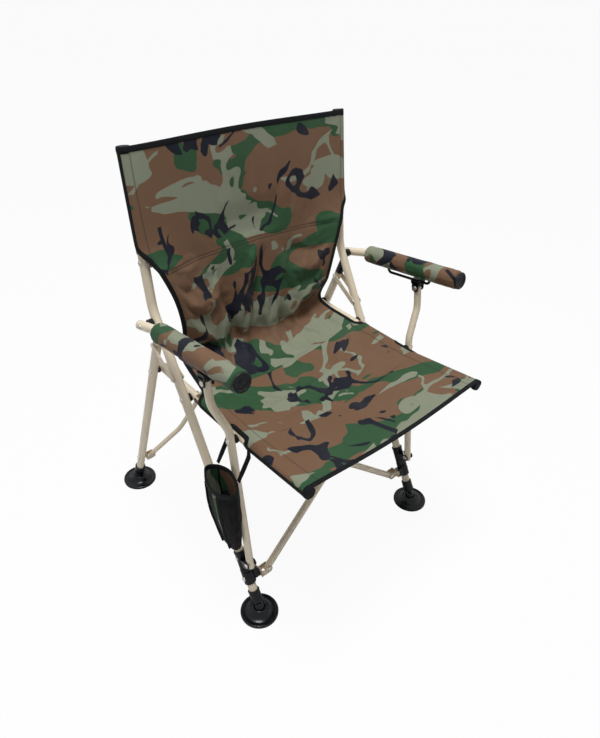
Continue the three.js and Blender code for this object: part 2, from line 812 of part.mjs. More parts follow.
// A thick sheet over a grid: place(u, v) gives the middle surface, u across from -1 to 1, v along from 0 to 1
function sheet(place, columns, rows, thickness) {
  const step = 1e-3;
  const normalAt = (u, v) => {
    const across = place(Math.min(u + step, 1), v).sub(place(Math.max(u - step, -1), v));
    const down = place(u, Math.min(v + step, 1)).sub(place(u, Math.max(v - step, 0)));
    return across.cross(down).normalize();
  };
  const positions = [];
  for (const side of [-1, 1]) {
    for (let row = 0; row <= rows; row += 1) {
      for (let column = 0; column <= columns; column += 1) {
        const u = (2 * column) / columns - 1;
        const v = row / rows;
        const point = place(u, v).addScaledVector(normalAt(u, v), (side * thickness) / 2);
        positions.push(point.x, point.y, point.z);
      }
    }
  }
  const wide = columns + 1;
  const layerSize = wide * (rows + 1);
  const index = [];
  const quad = (a, b, c, d) => index.push(a, b, c, a, c, d);
  for (let row = 0; row < rows; row += 1) {
    for (let column = 0; column < columns; column += 1) {
      const a = row * wide + column;
      quad(a, a + 1, a + 1 + wide, a + wide);
      quad(layerSize + a, layerSize + a + wide, layerSize + a + 1 + wide, layerSize + a + 1);
    }
  }
  for (let column = 0; column < columns; column += 1) {
    const end = rows * wide + column;
    quad(column, column + layerSize, column + 1 + layerSize, column + 1);
    quad(end, end + 1, end + 1 + layerSize, end + layerSize);
  }
  for (let row = 0; row < rows; row += 1) {
    const left = row * wide;
    const right = left + columns;
    quad(left, left + wide, left + wide + layerSize, left + layerSize);
    quad(right, right + layerSize, right + wide + layerSize, right + wide);
  }
  const geometry = new THREE.BufferGeometry();
  geometry.setAttribute("position", new THREE.Float32BufferAttribute(positions, 3));
  geometry.setIndex(index);
  return solid(geometry);
}

// The seat's sleeves follow the rails, and its rear edge meets the back's lower edge at a crease
const seatSkinRadius = boreFor(railRadius, tubeSides) + cloth;
const seatRise = seatSkinRadius - cloth / 2;
const creaseDepth = (u) => seatSag * (1 - u * u) ** 1.5;
const onRail = (point) =>
  at(
    railX + point.x,
    seatPivot.x + point.y * Math.cos(railTilt) - point.z * Math.sin(railTilt),
    seatPivot.y + point.y * Math.sin(railTilt) + point.z * Math.cos(railTilt),
  );

const smooth = (from, to, value) => THREE.MathUtils.smoothstep(value, from, to);
const fromUpright = (distance) => {
  const point = along(uprightBend, upperLean, distance);
  return at(uprightX, point.x, point.y);
};

// Back: sleeves on the two uprights, a sheet that bellies to the rear and gathers in at the waist
const backTopAlong = upperLength + hem + clearance;
const clothRadius = sleeveBore + cloth;
const backColumns = 14;
const backRows = 15;
const foldDepth = 5;

function backPanel() {
  const top = fromUpright(backTopAlong);
  const low = fromUpright(sleeveEndRise);
  const seamRadius = clothRadius - cloth / 2;
  const inset = seamRadius * Math.cos(backSeamTurn);
  const ahead = seamRadius * Math.sin(backSeamTurn);
  const crease = onRail(at(-railRadius - 2 * cloth, cloth + clearance - seatStart, seatRise));
  const edge = new THREE.CatmullRomCurve3(
    [
      at(uprightX - inset, top.y - ahead, top.z),
      at(uprightX - inset, low.y - ahead, low.z),
      at(uprightX - gatherInset, uprightBend.x - gatherAhead, uprightBend.y + gatherRise),
      at(uprightX - waistInset, uprightBend.x - waistAhead, uprightBend.y + waistRise),
      at(railX - creaseInset, seatPivot.x + creaseBehind, seatPivot.y + creaseRise),
      crease,
    ],
    false,
    "catmullrom",
    0.35,
  );
  const place = (u, v) => {
    const point = edge.getPointAt(v);
    const share = (1 - u * u) ** 2;
    const waist = smooth(0.1, 0.4, v) * (1 - smooth(0.6, 0.85, v));
    const low = smooth(0.6, 0.95, v);
    const fold = foldDepth * waist * Math.cos(4 * Math.PI * u) * share;
    const depth = backSag * (0.3 + 0.7 * waist) * (1 - low) * share;
    return at(point.x * u, point.y + depth + fold, point.z - low * creaseDepth(u));
  };
  const body = sheet(place, backColumns, backRows, cloth);
  const sleeves = [-1, 1].map((side) => {
    const ends = [low, top].map((end) => at(side * uprightX, end.y, end.z));
    const room = [fromUpright(sleeveEndRise - overrun), fromUpright(upperLength + clearance)];
    const bore = room.map((end) => at(side * uprightX, end.y, end.z));
    return cut(
      rodAlong(ends, 0, clothRadius),
      rodAlong(bore, 0, sleeveBore),
    );
  });
  const bores = [-1, 1].map((side) => {
    const room = [fromUpright(sleeveEndRise - 2 * overrun), fromUpright(upperLength + clearance)];
    return rodAlong(room.map((end) => at(side * uprightX, end.y, end.z)), 0, sleeveBore);
  });
  return cut(union(body, ...sleeves), ...bores);
}

// Seat: sleeves on the two rails and a sheet that sags between them
const seatColumns = 12;
const seatRows = 9;
const seatStart = 10;
const pivotRelief = 13;
const pivotReliefHalf = 22;

function seatPanel() {
  const skinCorners = railCorners(-seatStart, railFrontReach + clearance + cloth).map(onRail);
  const stations = new BentPath(skinCorners, railBendRadius).stations.map((station) => station.point);
  const edgeCurve = new THREE.CatmullRomCurve3(stations, false, "centripetal");
  const place = (u, v) => {
    const point = edgeCurve.getPointAt(v);
    const depth = creaseDepth(u) * THREE.MathUtils.lerp(1, seatFrontSag / seatSag, smooth(0.3, 1, v));
    return at(point.x * u, point.y, point.z + seatRise - depth);
  };
  const body = sheet(place, seatColumns, seatRows, cloth);
  const mirror = (points, side) => points.map((point) => at(side * point.x, point.y, point.z));
  const boreCorners = railCorners(0, railFrontReach + clearance).map(onRail);
  const outside = [-1, 1].map((side) => rodAlong(mirror(skinCorners, side), railBendRadius, seatSkinRadius));
  const bores = [-1, 1].map((side) =>
    rodAlong(mirror(boreCorners, side), railBendRadius, boreFor(railRadius, tubeSides)),
  );
  const reliefs = [-1, 1].map((side) => {
    const rounds = [-1, 1].map((end) => {
      const y = postPivot.x + end * (pivotReliefHalf - pivotRelief);
      const z = postPivot.y - clearance;
      const low = at(side * (railX - seatSkinRadius - overrun), y, z);
      const high = at(side * (uprightX + seatSkinRadius), y, z);
      return rodAlong([low, high], 0, pivotRelief, roundSides);
    });
    return rounds[0].add(rounds[1]).hull();
  });
  const roof = block(
    -uprightX,
    uprightX,
    postPivot.x - 2 * pivotReliefHalf,
    postPivot.x + 2 * pivotReliefHalf,
    postPivot.y + seatSkinRadius - cloth - clearance,
    postPivot.y + seatSkinRadius + pivotRelief,
  );
  return cut(union(body, ...outside), ...bores, ...reliefs.map((relief) => cut(relief, roof)));
}

// Cup pocket: a soft open bag that narrows downwards, lofted through rounded sections
const pocketSections = 5;
const pocketPoints = 14;
const pocketBottomShare = 0.5;
const pocketSquareness = 3.2;
const pocketRearY = postPivot.x + pocketRearReach;
const pocketFrontY = pocketRearY - pocketLength;
const pocketTopZ = postPivot.y - pocketTopDrop;
const pocketBottomZ = pocketTopZ - pocketHeight;
const superellipse = (turn) => {
  const sum = Math.abs(Math.cos(turn)) ** pocketSquareness + Math.abs(Math.sin(turn)) ** pocketSquareness;
  return sum ** (-1 / pocketSquareness);
};

function pocketLoft(inset, floor, rim) {
  const positions = [];
  const index = [];
  for (let level = 0; level <= pocketSections; level += 1) {
    const share = level / pocketSections;
    const height = THREE.MathUtils.lerp(pocketBottomZ + floor, pocketTopZ + rim, share);
    const spread = THREE.MathUtils.lerp(pocketBottomShare, 1, Math.sin((share * Math.PI) / 2));
    const halfX = (pocketDepth / 2) * spread - inset;
    const halfY = ((pocketRearY - pocketFrontY) / 2) * spread - inset;
    const midY = (pocketRearY + pocketFrontY) / 2 - (1 - share) * strapWidth;
    const midX = pocketInnerX + inset + halfX;
    for (let i = 0; i < pocketPoints; i += 1) {
      const turn = (i / pocketPoints) * 2 * Math.PI;
      const radius = superellipse(turn);
      const x = midX + halfX * radius * Math.cos(turn);
      const y = midY + halfY * radius * Math.sin(turn);
      const drop = pocketMouthDrop * share * ((x - pocketInnerX) / pocketDepth);
      positions.push(-x, y, height - drop);
    }
  }
  const ends = [0, pocketSections].map((level) => {
    const centre = at(0, 0, 0);
    for (let i = 0; i < pocketPoints; i += 1) {
      const from = 3 * (level * pocketPoints + i);
      centre.add(at(positions[from], positions[from + 1], positions[from + 2]));
    }
    centre.divideScalar(pocketPoints);
    positions.push(centre.x, centre.y, centre.z);
    return positions.length / 3 - 1;
  });
  for (let i = 0; i < pocketPoints; i += 1) {
    const next = (i + 1) % pocketPoints;
    for (let level = 0; level < pocketSections; level += 1) {
      const a = level * pocketPoints;
      const b = a + pocketPoints;
      index.push(a + i, a + next, b + next, a + i, b + next, b + i);
    }
    const last = pocketSections * pocketPoints;
    index.push(ends[0], next, i, ends[1], last + i, last + next);
  }
  const geometry = new THREE.BufferGeometry();
  geometry.setAttribute("position", new THREE.Float32BufferAttribute(positions, 3));
  geometry.setIndex(index);
  return solid(geometry);
}

const cupPocket = () => cut(pocketLoft(0, 0, 0), pocketLoft(pocketWall, pocketWall, overrun));

// Straps: two webbing strips from the outer side of the rail's sleeve down to the pocket's inner rim,
// one on each side of the arm post, joined by a hem along the rim
function pocketStraps() {
  const sleeveSide = railX + boreFor(railRadius, tubeSides) + cloth + clearance;
  const innerFace = sleeveSide + strapThickness / 2;
  const outerFace = pocketInnerX + pocketWall / 2;
  const low = pocketTopZ + clearance;
  const rearY = pocketRearY - strapRearInset;
  const frontY = rearY - strapGap;
  const top = postPivot.y + strapTopRise;
  const strips = [rearY, frontY].map((y) => {
    const shape = new THREE.Shape([
      new THREE.Vector2(-strapWidth / 2, -strapThickness / 2),
      new THREE.Vector2(strapWidth / 2, -strapThickness / 2),
      new THREE.Vector2(strapWidth / 2, strapThickness / 2),
      new THREE.Vector2(-strapWidth / 2, strapThickness / 2),
    ]);
    const corners = [at(-innerFace, y, top), at(-innerFace, y, top - strapStraight), at(-outerFace, y, low)];
    const path = new BentPath(corners, strapBendRadius);
    return solid(new THREE.ExtrudeGeometry(shape, { steps: path.steps, extrudePath: path, curveSegments: 1 }));
  });
  const bridge = block(
    -outerFace - pocketWall / 2,
    -outerFace + pocketWall / 2,
    frontY - strapWidth / 2,
    rearY + strapWidth / 2,
    low,
    low + strapThickness,
  );
  return union(...strips, bridge);
}

// One side of the chair, drawn at +X
function addSide(chair, side, mirrored) {
  const group = new THREE.Group();
  if (mirrored) group.scale.x = -1;
  chair.add(group);
  const named = (name) => `${name}_${side}`;
  const hand = mirrored ? -1 : 1;
  const frontLayer = hand * (frontCrossRadius + crossGap / 2);
  const rearLayer = hand * (rearCrossRadius + crossGap / 2);

  const uprightFrame = frame(group, uprightX, frontFoot, uprightLean);
  add(uprightFrame, named("upright"), upright(), creamPaint);
  add(uprightFrame, named("slider"), slider(), blackPlastic);
  add(uprightFrame, named("front_saddle"), frontSaddle(), blackPlastic);
  const gapToRail = uprightX - railX - uprightRadius - railRadius;
  const spacerFace = -uprightRadius - clearance;
  const spacer = (y, z, radius) =>
    ringX(spacerFace - gapToRail + 2 * clearance, spacerFace, y, z, radius, rivetRadius + clearance);
  add(uprightFrame, named("seat_pivot_spacer"), spacer(0, seatPivotAlong, railRadius), blackPlastic);
  const armSpacer = ringX(
    uprightRadius + clearance,
    armX - uprightX - armRadius - clearance,
    0,
    armPivotAlong,
    armRadius,
    rivetRadius + clearance,
  );
  add(uprightFrame, named("arm_pivot_spacer"), armSpacer, blackPlastic);

  const frontBall = frame(uprightFrame, 0, new THREE.Vector2(0, frontBallAlong), 0);
  add(frontBall, named("front_ferrule"), ferrule(), blackPlastic);
  const frontFootPoint = along(frontFoot, uprightLean, frontBallAlong);
  add(frame(group, uprightX, frontFootPoint, 0), named("front_foot"), foot(), blackRubber);

  const rearFrame = frame(group, uprightX, rearFoot, rearLegLean);
  add(rearFrame, named("rear_leg"), rearLeg(), creamPaint);
  add(rearFrame, named("rear_leg_saddle"), legSaddle(), blackPlastic);
  add(rearFrame, named("rear_pivot_spacer"), spacer(0, rearLegPivotAlong, railRadius), blackPlastic);
  const rearBall = frame(rearFrame, 0, new THREE.Vector2(0, rearBallAlong), 0);
  add(rearBall, named("rear_ferrule"), ferrule(), blackPlastic);
  const rearFootPoint = along(rearFoot, rearLegLean, rearBallAlong);
  add(frame(group, uprightX, rearFootPoint, 0), named("rear_foot"), foot(), blackRubber);

  const linkFrame = frame(group, uprightX, linkBolt, leanOf(linkBolt, linkTop));
  add(linkFrame, named("outer_link"), link(false), creamPaint);
  add(linkFrame, named("inner_link"), link(true), creamPaint);

  const railFrame = frame(group, railX, seatPivot, -railTilt);
  add(railFrame, named("seat_rail"), seatRail(), creamPaint);
  const postGap = uprightX - railX - postRadius - railRadius;
  const postSpacer = ringX(
    railRadius + clearance,
    railRadius + postGap - clearance,
    -postReach,
    0,
    railRadius,
    rivetRadius,
  );
  add(railFrame, named("post_pivot_spacer"), postSpacer, blackPlastic);

  add(frame(group, uprightX, sliderPin, postLean), named("arm_post"), armPost(), creamPaint);

  const armFrame = frame(group, armX, armPivot, armPitch);
  add(armFrame, named("arm_tube"), armTube(), creamPaint);
  add(armFrame, named("arm_sleeve"), armSleeve(), camoCloth);
  add(armFrame, named("arm_plug"), armPlug(), blackPlastic);
  add(armFrame, named("arm_wire"), railWire(), blackPlastic);
  add(armFrame, named("arm_runner"), runner(), blackPlastic);

  const frontCross = frame(group, 0, frontCrossFoot, frontCrossLean);
  add(
    frontCross,
    named("front_cross_tube"),
    crossTube(
      crossCorners(frontPinX, frontLayer, frontCrossHeight),
      frontCrossRadius,
      frontLayer,
      frontCrossHeight,
      !mirrored,
    ),
    creamPaint,
  );
  const frontLower = clevis({
    plateX: saddleFaceX - clearance,
    pinX: frontPinX,
    pinDrop: 0,
    radius: frontCrossRadius,
    layer: frontLayer,
    rivetTo: uprightX + sliderRadius + clearance,
  });
  add(frontCross, named("front_lower_clevis"), frontLower, steel);
  const frontTop = frame(frontCross, 0, new THREE.Vector2(0, frontCrossHeight + upperPinDrop), 0);
  const frontUpper = clevis({
    plateX: railX - railRadius - clearance,
    pinX: frontPinX,
    pinDrop: upperPinDrop,
    radius: frontCrossRadius,
    layer: -frontLayer,
  });
  add(frontTop, named("front_upper_clevis"), frontUpper, steel);

  const rearCross = frame(group, 0, rearCrossFoot, rearCrossLean);
  add(
    rearCross,
    named("rear_cross_tube"),
    crossTube(
      crossCorners(rearPinX, rearLayer, rearCrossHeight, rearKneeIn, rearKneeUp),
      rearCrossRadius,
      rearLayer,
      rearCrossHeight,
      !mirrored,
    ),
    creamPaint,
  );
  const rearLower = clevis({
    plateX: uprightX - rearLegRadius - clearance,
    pinX: rearPinX,
    pinDrop: 0,
    radius: rearCrossRadius,
    layer: rearLayer,
    rivetTo: uprightX + rearLegRadius + clearance,
  });
  add(rearCross, named("rear_lower_clevis"), rearLower, steel);
  const rearTop = frame(rearCross, 0, new THREE.Vector2(0, rearCrossHeight), 0);
  const rearUpper = clevis({
    plateX: uprightX - uprightRadius - clearance,
    pinX: rearPinX,
    pinDrop: 0,
    radius: rearCrossRadius,
    layer: -rearLayer,
  });
  add(rearTop, named("rear_upper_clevis"), rearUpper, steel);
}

const chair = new THREE.Group();
addSide(chair, "left", false);
addSide(chair, "right", true);
add(chair, "back_panel", backPanel(), camoCloth);
add(chair, "seat_panel", seatPanel(), camoCloth);
add(chair, "cup_pocket", cupPocket(), camoCloth);
add(chair, "pocket_straps", pocketStraps(), blackWebbing);

export default chair;
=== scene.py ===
"""Folding camp chair: painted tube side frames on crossed tubes, a camouflage sling seat and back,
foam arms on sliding posts, swivel mud feet and a hanging cup pocket.

Metres, +Z up, the sitter faces -Y. Side pieces are drawn at +X and mirrored for the other side.
"""

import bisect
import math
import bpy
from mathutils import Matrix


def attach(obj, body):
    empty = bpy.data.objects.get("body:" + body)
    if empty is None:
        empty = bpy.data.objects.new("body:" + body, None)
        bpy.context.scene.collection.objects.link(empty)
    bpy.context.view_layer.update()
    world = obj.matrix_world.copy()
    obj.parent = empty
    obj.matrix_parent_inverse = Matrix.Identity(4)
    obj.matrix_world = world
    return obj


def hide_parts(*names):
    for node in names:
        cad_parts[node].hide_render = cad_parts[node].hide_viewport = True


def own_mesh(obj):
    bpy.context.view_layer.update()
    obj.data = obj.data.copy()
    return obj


bl_info = {
    "name": "Folding Camp Chair",
    "version": (1, 0, 0),
    "blender": (4, 5, 0),
    "location": "3D View > Sidebar > Camp Chair",
    "description": "Builds a folding camp chair with tube frame, sling cloth, foam arms and a cup pocket",
    "category": "Add Mesh",
}

import bmesh
import bpy
from bpy.props import FloatProperty, FloatVectorProperty, IntProperty, PointerProperty
from mathutils import Matrix, Vector, noise

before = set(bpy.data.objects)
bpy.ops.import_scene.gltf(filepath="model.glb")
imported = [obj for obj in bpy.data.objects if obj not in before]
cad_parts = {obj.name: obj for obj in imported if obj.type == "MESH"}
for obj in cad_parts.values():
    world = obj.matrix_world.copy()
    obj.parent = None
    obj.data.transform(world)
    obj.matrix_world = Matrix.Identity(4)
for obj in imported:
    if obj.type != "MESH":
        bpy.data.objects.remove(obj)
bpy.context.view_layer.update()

# Lateral planes, from the middle of the chair
UPRIGHT_X = 0.255
RAIL_X = 0.233
ARM_X = 0.284

# Tubes
UPRIGHT_RADIUS = 0.0095
RAIL_RADIUS = 0.009
POST_RADIUS = 0.008
ARM_RADIUS = 0.0095
FRONT_CROSS_RADIUS = 0.00775
REAR_CROSS_RADIUS = 0.006
GAP = 0.0003
MM = 0.001

# Upright
UPRIGHT_LEAN = math.radians(28.8)
UPPER_LEAN = math.radians(7.0)
UPRIGHT_BEND = 0.705
UPRIGHT_BEND_RADIUS = 0.1
UPPER_LENGTH = 0.299
FRONT_CROSS_ALONG = 0.1
SLIDER_ALONG = 0.1405
SEAT_PIVOT_ALONG = 0.515
LINK_BOLT_ALONG = 0.5615
ARM_PIVOT_ALONG = 0.680
REAR_CROSS_RISE = 0.09412

# Seat rail
RAIL_TILT = math.radians(1.4)
RAIL_REAR_REACH = 0.140
REAR_LEG_REACH = 0.122
POST_REACH = 0.155
RAIL_BEND_REACH = 0.190
RAIL_FRONT_REACH = 0.353
RAIL_FRONT_RISE = 0.018
RAIL_FRONT_SPLAY = 0.005
RAIL_BEND_RADIUS = 0.2

# Rear leg
REAR_LEG_TOP = 0.088
REAR_LEG_END = 0.012
REAR_CROSS_ALONG = 0.116

# Arm
ARM_PITCH = math.radians(7.1)
ARM_REAR_REACH = 0.017
ARM_BEND_REACH = 0.048
ARM_RISE = 0.0072
ARM_FRONT_REACH = 0.316
ARM_BEND_RADIUS = 0.09
SLEEVE_RADIUS = 0.0205
SLEEVE_REAR_REACH = 0.058
WIRE_DROP = 0.029
WIRE_RADIUS = 0.003
WIRE_REAR_LEG = 0.122
WIRE_FRONT_LEG = 0.240
WIRE_BEND = 0.009
RUNNER_PIN_DROP = 0.044
RUNNER_HALF = 0.012
RUNNER_TOP = 0.0062

# Arm post
EAR_REACH = 0.030
POST_END = 0.009
POST_TOP = 0.003
JOG_START = 0.022
JOG_END = 0.092
POST_BEND_RADIUS = 0.055

# Crossed tubes
FRONT_PIN_X = 0.210
REAR_PIN_X = 0.230
UPPER_PIN_DROP = 0.010
CROSS_GAP = 0.001
CROSS_END = 0.007
CROSS_BEND_RADIUS = 0.060
REAR_KNEE_IN = 0.084
REAR_KNEE_UP = 0.053
CLEVIS_PLATE = 0.002
CLEVIS_HALF = 0.0095
CLEVIS_EAR = 0.0075
CLEVIS_PIN = 0.0025
SADDLE_FACE_X = 0.231

# Brackets and rivets
SLIDER_HALF = 0.025
SLIDER_RADIUS = 0.013
EAR_THICKNESS = 0.0025
EAR_RADIUS = 0.0085
LINK_HALF_WIDTH = 0.0065
PLATE_THICKNESS = 0.002
RIVET_HEAD_RADIUS = 0.0056
RIVET_HEAD_HEIGHT = 0.0017
RIVET_TAIL_HEIGHT = 0.0012
SHANK_RADIUS = 0.003

# Feet
BALL_HEIGHT = 0.020
BALL_RADIUS = 0.011
FOOT_RADIUS = 0.042
FERRULE_RADIUS = 0.013
FERRULE_LENGTH = 0.044
FERRULE_SEAT = 0.019

# Cloth
CLOTH = 0.002
SLEEVE_END_Z = 0.734
WAIST = Vector((0.217, 0.079, 0.628))
CREASE = Vector((0.204, 0.102, 0.486))
BACK_SAG = 0.046
SEAT_SAG = 0.036
SEAT_FRONT_SAG = 0.014
SEAT_START = 0.010

# Cup pocket
POCKET_INNER_X = 0.270
POCKET_DEPTH = 0.044
POCKET_REAR_Y = -0.112
POCKET_FRONT_Y = -0.206
POCKET_TOP_Z = 0.388
POCKET_BOTTOM_Z = 0.203
POCKET_MOUTH_DROP = 0.022
POCKET_BOTTOM_SHARE = 0.5
STRAP_WIDTH = 0.011
STRAP_THICKNESS = 0.0016
STRAP_REAR_Y = -0.120
STRAP_FRONT_Y = -0.186
STRAP_TOP_Z = 0.450
STRAP_KNEE_Z = 0.432

# Camera, fitted to the photograph
PHOTO_HEIGHT_PX = 738
FOCAL_PX = 599.5
SENSOR = 36.0
CAMERA_PLACE = Vector((-0.7287, -0.8355, 1.2054))
CAMERA_AZIMUTH = math.radians(-42.84)
CAMERA_ELEVATION = math.radians(35.32)
CAMERA_ROLL = math.radians(2.38)


def along(origin, lean, distance, ahead=0.0):
    """A point of the side plane, as (y, z), a distance up a leaning line and ahead of it."""
    return Vector(
        (
            origin.x + distance * math.sin(lean) - ahead * math.cos(lean),
            origin.y + distance * math.cos(lean) + ahead * math.sin(lean),
        )
    )


def lean_of(low, high):
    return math.atan2(high.x - low.x, high.y - low.y)


FRONT_FOOT = Vector((-0.237, 0.0))
REAR_FOOT = Vector((0.306, 0.0))
SEAT_PIVOT = along(FRONT_FOOT, UPRIGHT_LEAN, SEAT_PIVOT_ALONG)
LINK_BOLT = along(FRONT_FOOT, UPRIGHT_LEAN, LINK_BOLT_ALONG)
ARM_PIVOT = along(FRONT_FOOT, UPRIGHT_LEAN, ARM_PIVOT_ALONG)
BEND_POINT = along(FRONT_FOOT, UPRIGHT_LEAN, UPRIGHT_BEND)
SLIDER_PIN = along(FRONT_FOOT, UPRIGHT_LEAN, SLIDER_ALONG, EAR_REACH)
FRONT_CROSS_FOOT = along(FRONT_FOOT, UPRIGHT_LEAN, FRONT_CROSS_ALONG)
REAR_CROSS_TOP = along(BEND_POINT, UPPER_LEAN, REAR_CROSS_RISE)
RAIL_DIRECTION = Vector((math.cos(RAIL_TILT), math.sin(RAIL_TILT)))
REAR_LEG_PIVOT = SEAT_PIVOT + RAIL_DIRECTION * REAR_LEG_REACH
POST_PIVOT = SEAT_PIVOT - RAIL_DIRECTION * POST_REACH
REAR_LEG_LEAN = lean_of(REAR_FOOT, REAR_LEG_PIVOT)
REAR_LEG_PIVOT_ALONG = (REAR_LEG_PIVOT - REAR_FOOT).length
LINK_TOP = along(REAR_FOOT, REAR_LEG_LEAN, REAR_LEG_PIVOT_ALONG + REAR_LEG_TOP)
REAR_CROSS_FOOT = along(REAR_FOOT, REAR_LEG_LEAN, REAR_CROSS_ALONG)
POST_LEAN = lean_of(SLIDER_PIN, POST_PIVOT)
POST_PIVOT_ALONG = (POST_PIVOT - SLIDER_PIN).length
FRONT_CROSS_LEAN = lean_of(FRONT_CROSS_FOOT, POST_PIVOT)
FRONT_CROSS_HEIGHT = (POST_PIVOT - FRONT_CROSS_FOOT).length - UPPER_PIN_DROP
REAR_CROSS_LEAN = lean_of(REAR_CROSS_FOOT, REAR_CROSS_TOP)
REAR_CROSS_HEIGHT = (REAR_CROSS_TOP - REAR_CROSS_FOOT).length
FRONT_BALL_ALONG = BALL_HEIGHT / math.cos(UPRIGHT_LEAN)
REAR_BALL_ALONG = BALL_HEIGHT / math.cos(REAR_LEG_LEAN)


def runner_place():
    """How far up the post its top pin lies, and how far ahead of the arm's pivot the runner stands."""
    forward = Vector((-math.cos(ARM_PITCH), math.sin(ARM_PITCH)))
    up = Vector((math.sin(ARM_PITCH), math.cos(ARM_PITCH)))
    on_line = ARM_PIVOT + up * (ARM_RISE - RUNNER_PIN_DROP)
    post = Vector((math.sin(POST_LEAN), math.cos(POST_LEAN)))
    gap = on_line - SLIDER_PIN
    distance = (gap.x * forward.y - gap.y * forward.x) / (post.x * forward.y - post.y * forward.x)
    pin = SLIDER_PIN + post * distance
    return distance, (pin - ARM_PIVOT).dot(forward)


RUNNER_ALONG, RUNNER_REACH = runner_place()


def side_frame(x, point, lean):
    """Place of a member: its Z runs up the member and its -Y is ahead of it."""
    return Matrix.Translation((x, point.x, point.y)) @ Matrix.Rotation(-lean, 4, "X")


def on_upper(distance):
    turn = UPRIGHT_LEAN - UPPER_LEAN
    return Vector((0, -distance * math.sin(turn), UPRIGHT_BEND + distance * math.cos(turn)))


def bent_path(corners, radius, step=math.radians(5)):
    """Points of a path through the corners, with each inner corner rounded to an arc."""
    corners = [Vector(corner) for corner in corners]
    points = [corners[0]]
    for before, corner, after in zip(corners, corners[1:], corners[2:]):
        entry = (corner - before).normalized()
        leave = (after - corner).normalized()
        angle = entry.angle(leave)
        if angle < 1e-6:
            continue
        start = corner - entry * (radius * math.tan(angle / 2))
        inward = (leave - entry * leave.dot(entry)).normalized()
        steps = max(2, math.ceil(angle / step))
        for i in range(steps + 1):
            turn = angle * i / steps
            points.append(
                start + entry * (radius * math.sin(turn)) + inward * (radius * (1 - math.cos(turn)))
            )
    points.append(corners[-1])
    return points


def tangents_of(points):
    inner = [(b - a).normalized() for a, b in zip(points, points[1:])]
    middle = [(a + b).normalized() for a, b in zip(inner, inner[1:])]
    return [inner[0], *middle, inner[-1]]


def on_circle(radius, turn):
    return radius * math.cos(turn), radius * math.sin(turn)


def ring_faces(rings, n, capped=True):
    """Faces between rings of n points each, and over both ends."""
    faces = []
    for row in range(rings - 1):
        for i in range(n):
            a, b = row * n + i, row * n + (i + 1) % n
            faces.append((a, b, b + n, a + n))
    if capped:
        last = (rings - 1) * n
        faces.append(tuple(reversed(range(n))))
        faces.append(tuple(last + i for i in range(n)))
    return faces


def new_mesh(name, points, faces):
    mesh = bpy.data.meshes.new(name)
    mesh.from_pydata([tuple(point) for point in points], [], faces)
    return mesh


def show(name, data):
    """A new object of the scene."""
    thing = bpy.data.objects.new(name, data)
    bpy.context.scene.collection.objects.link(thing)
    return thing


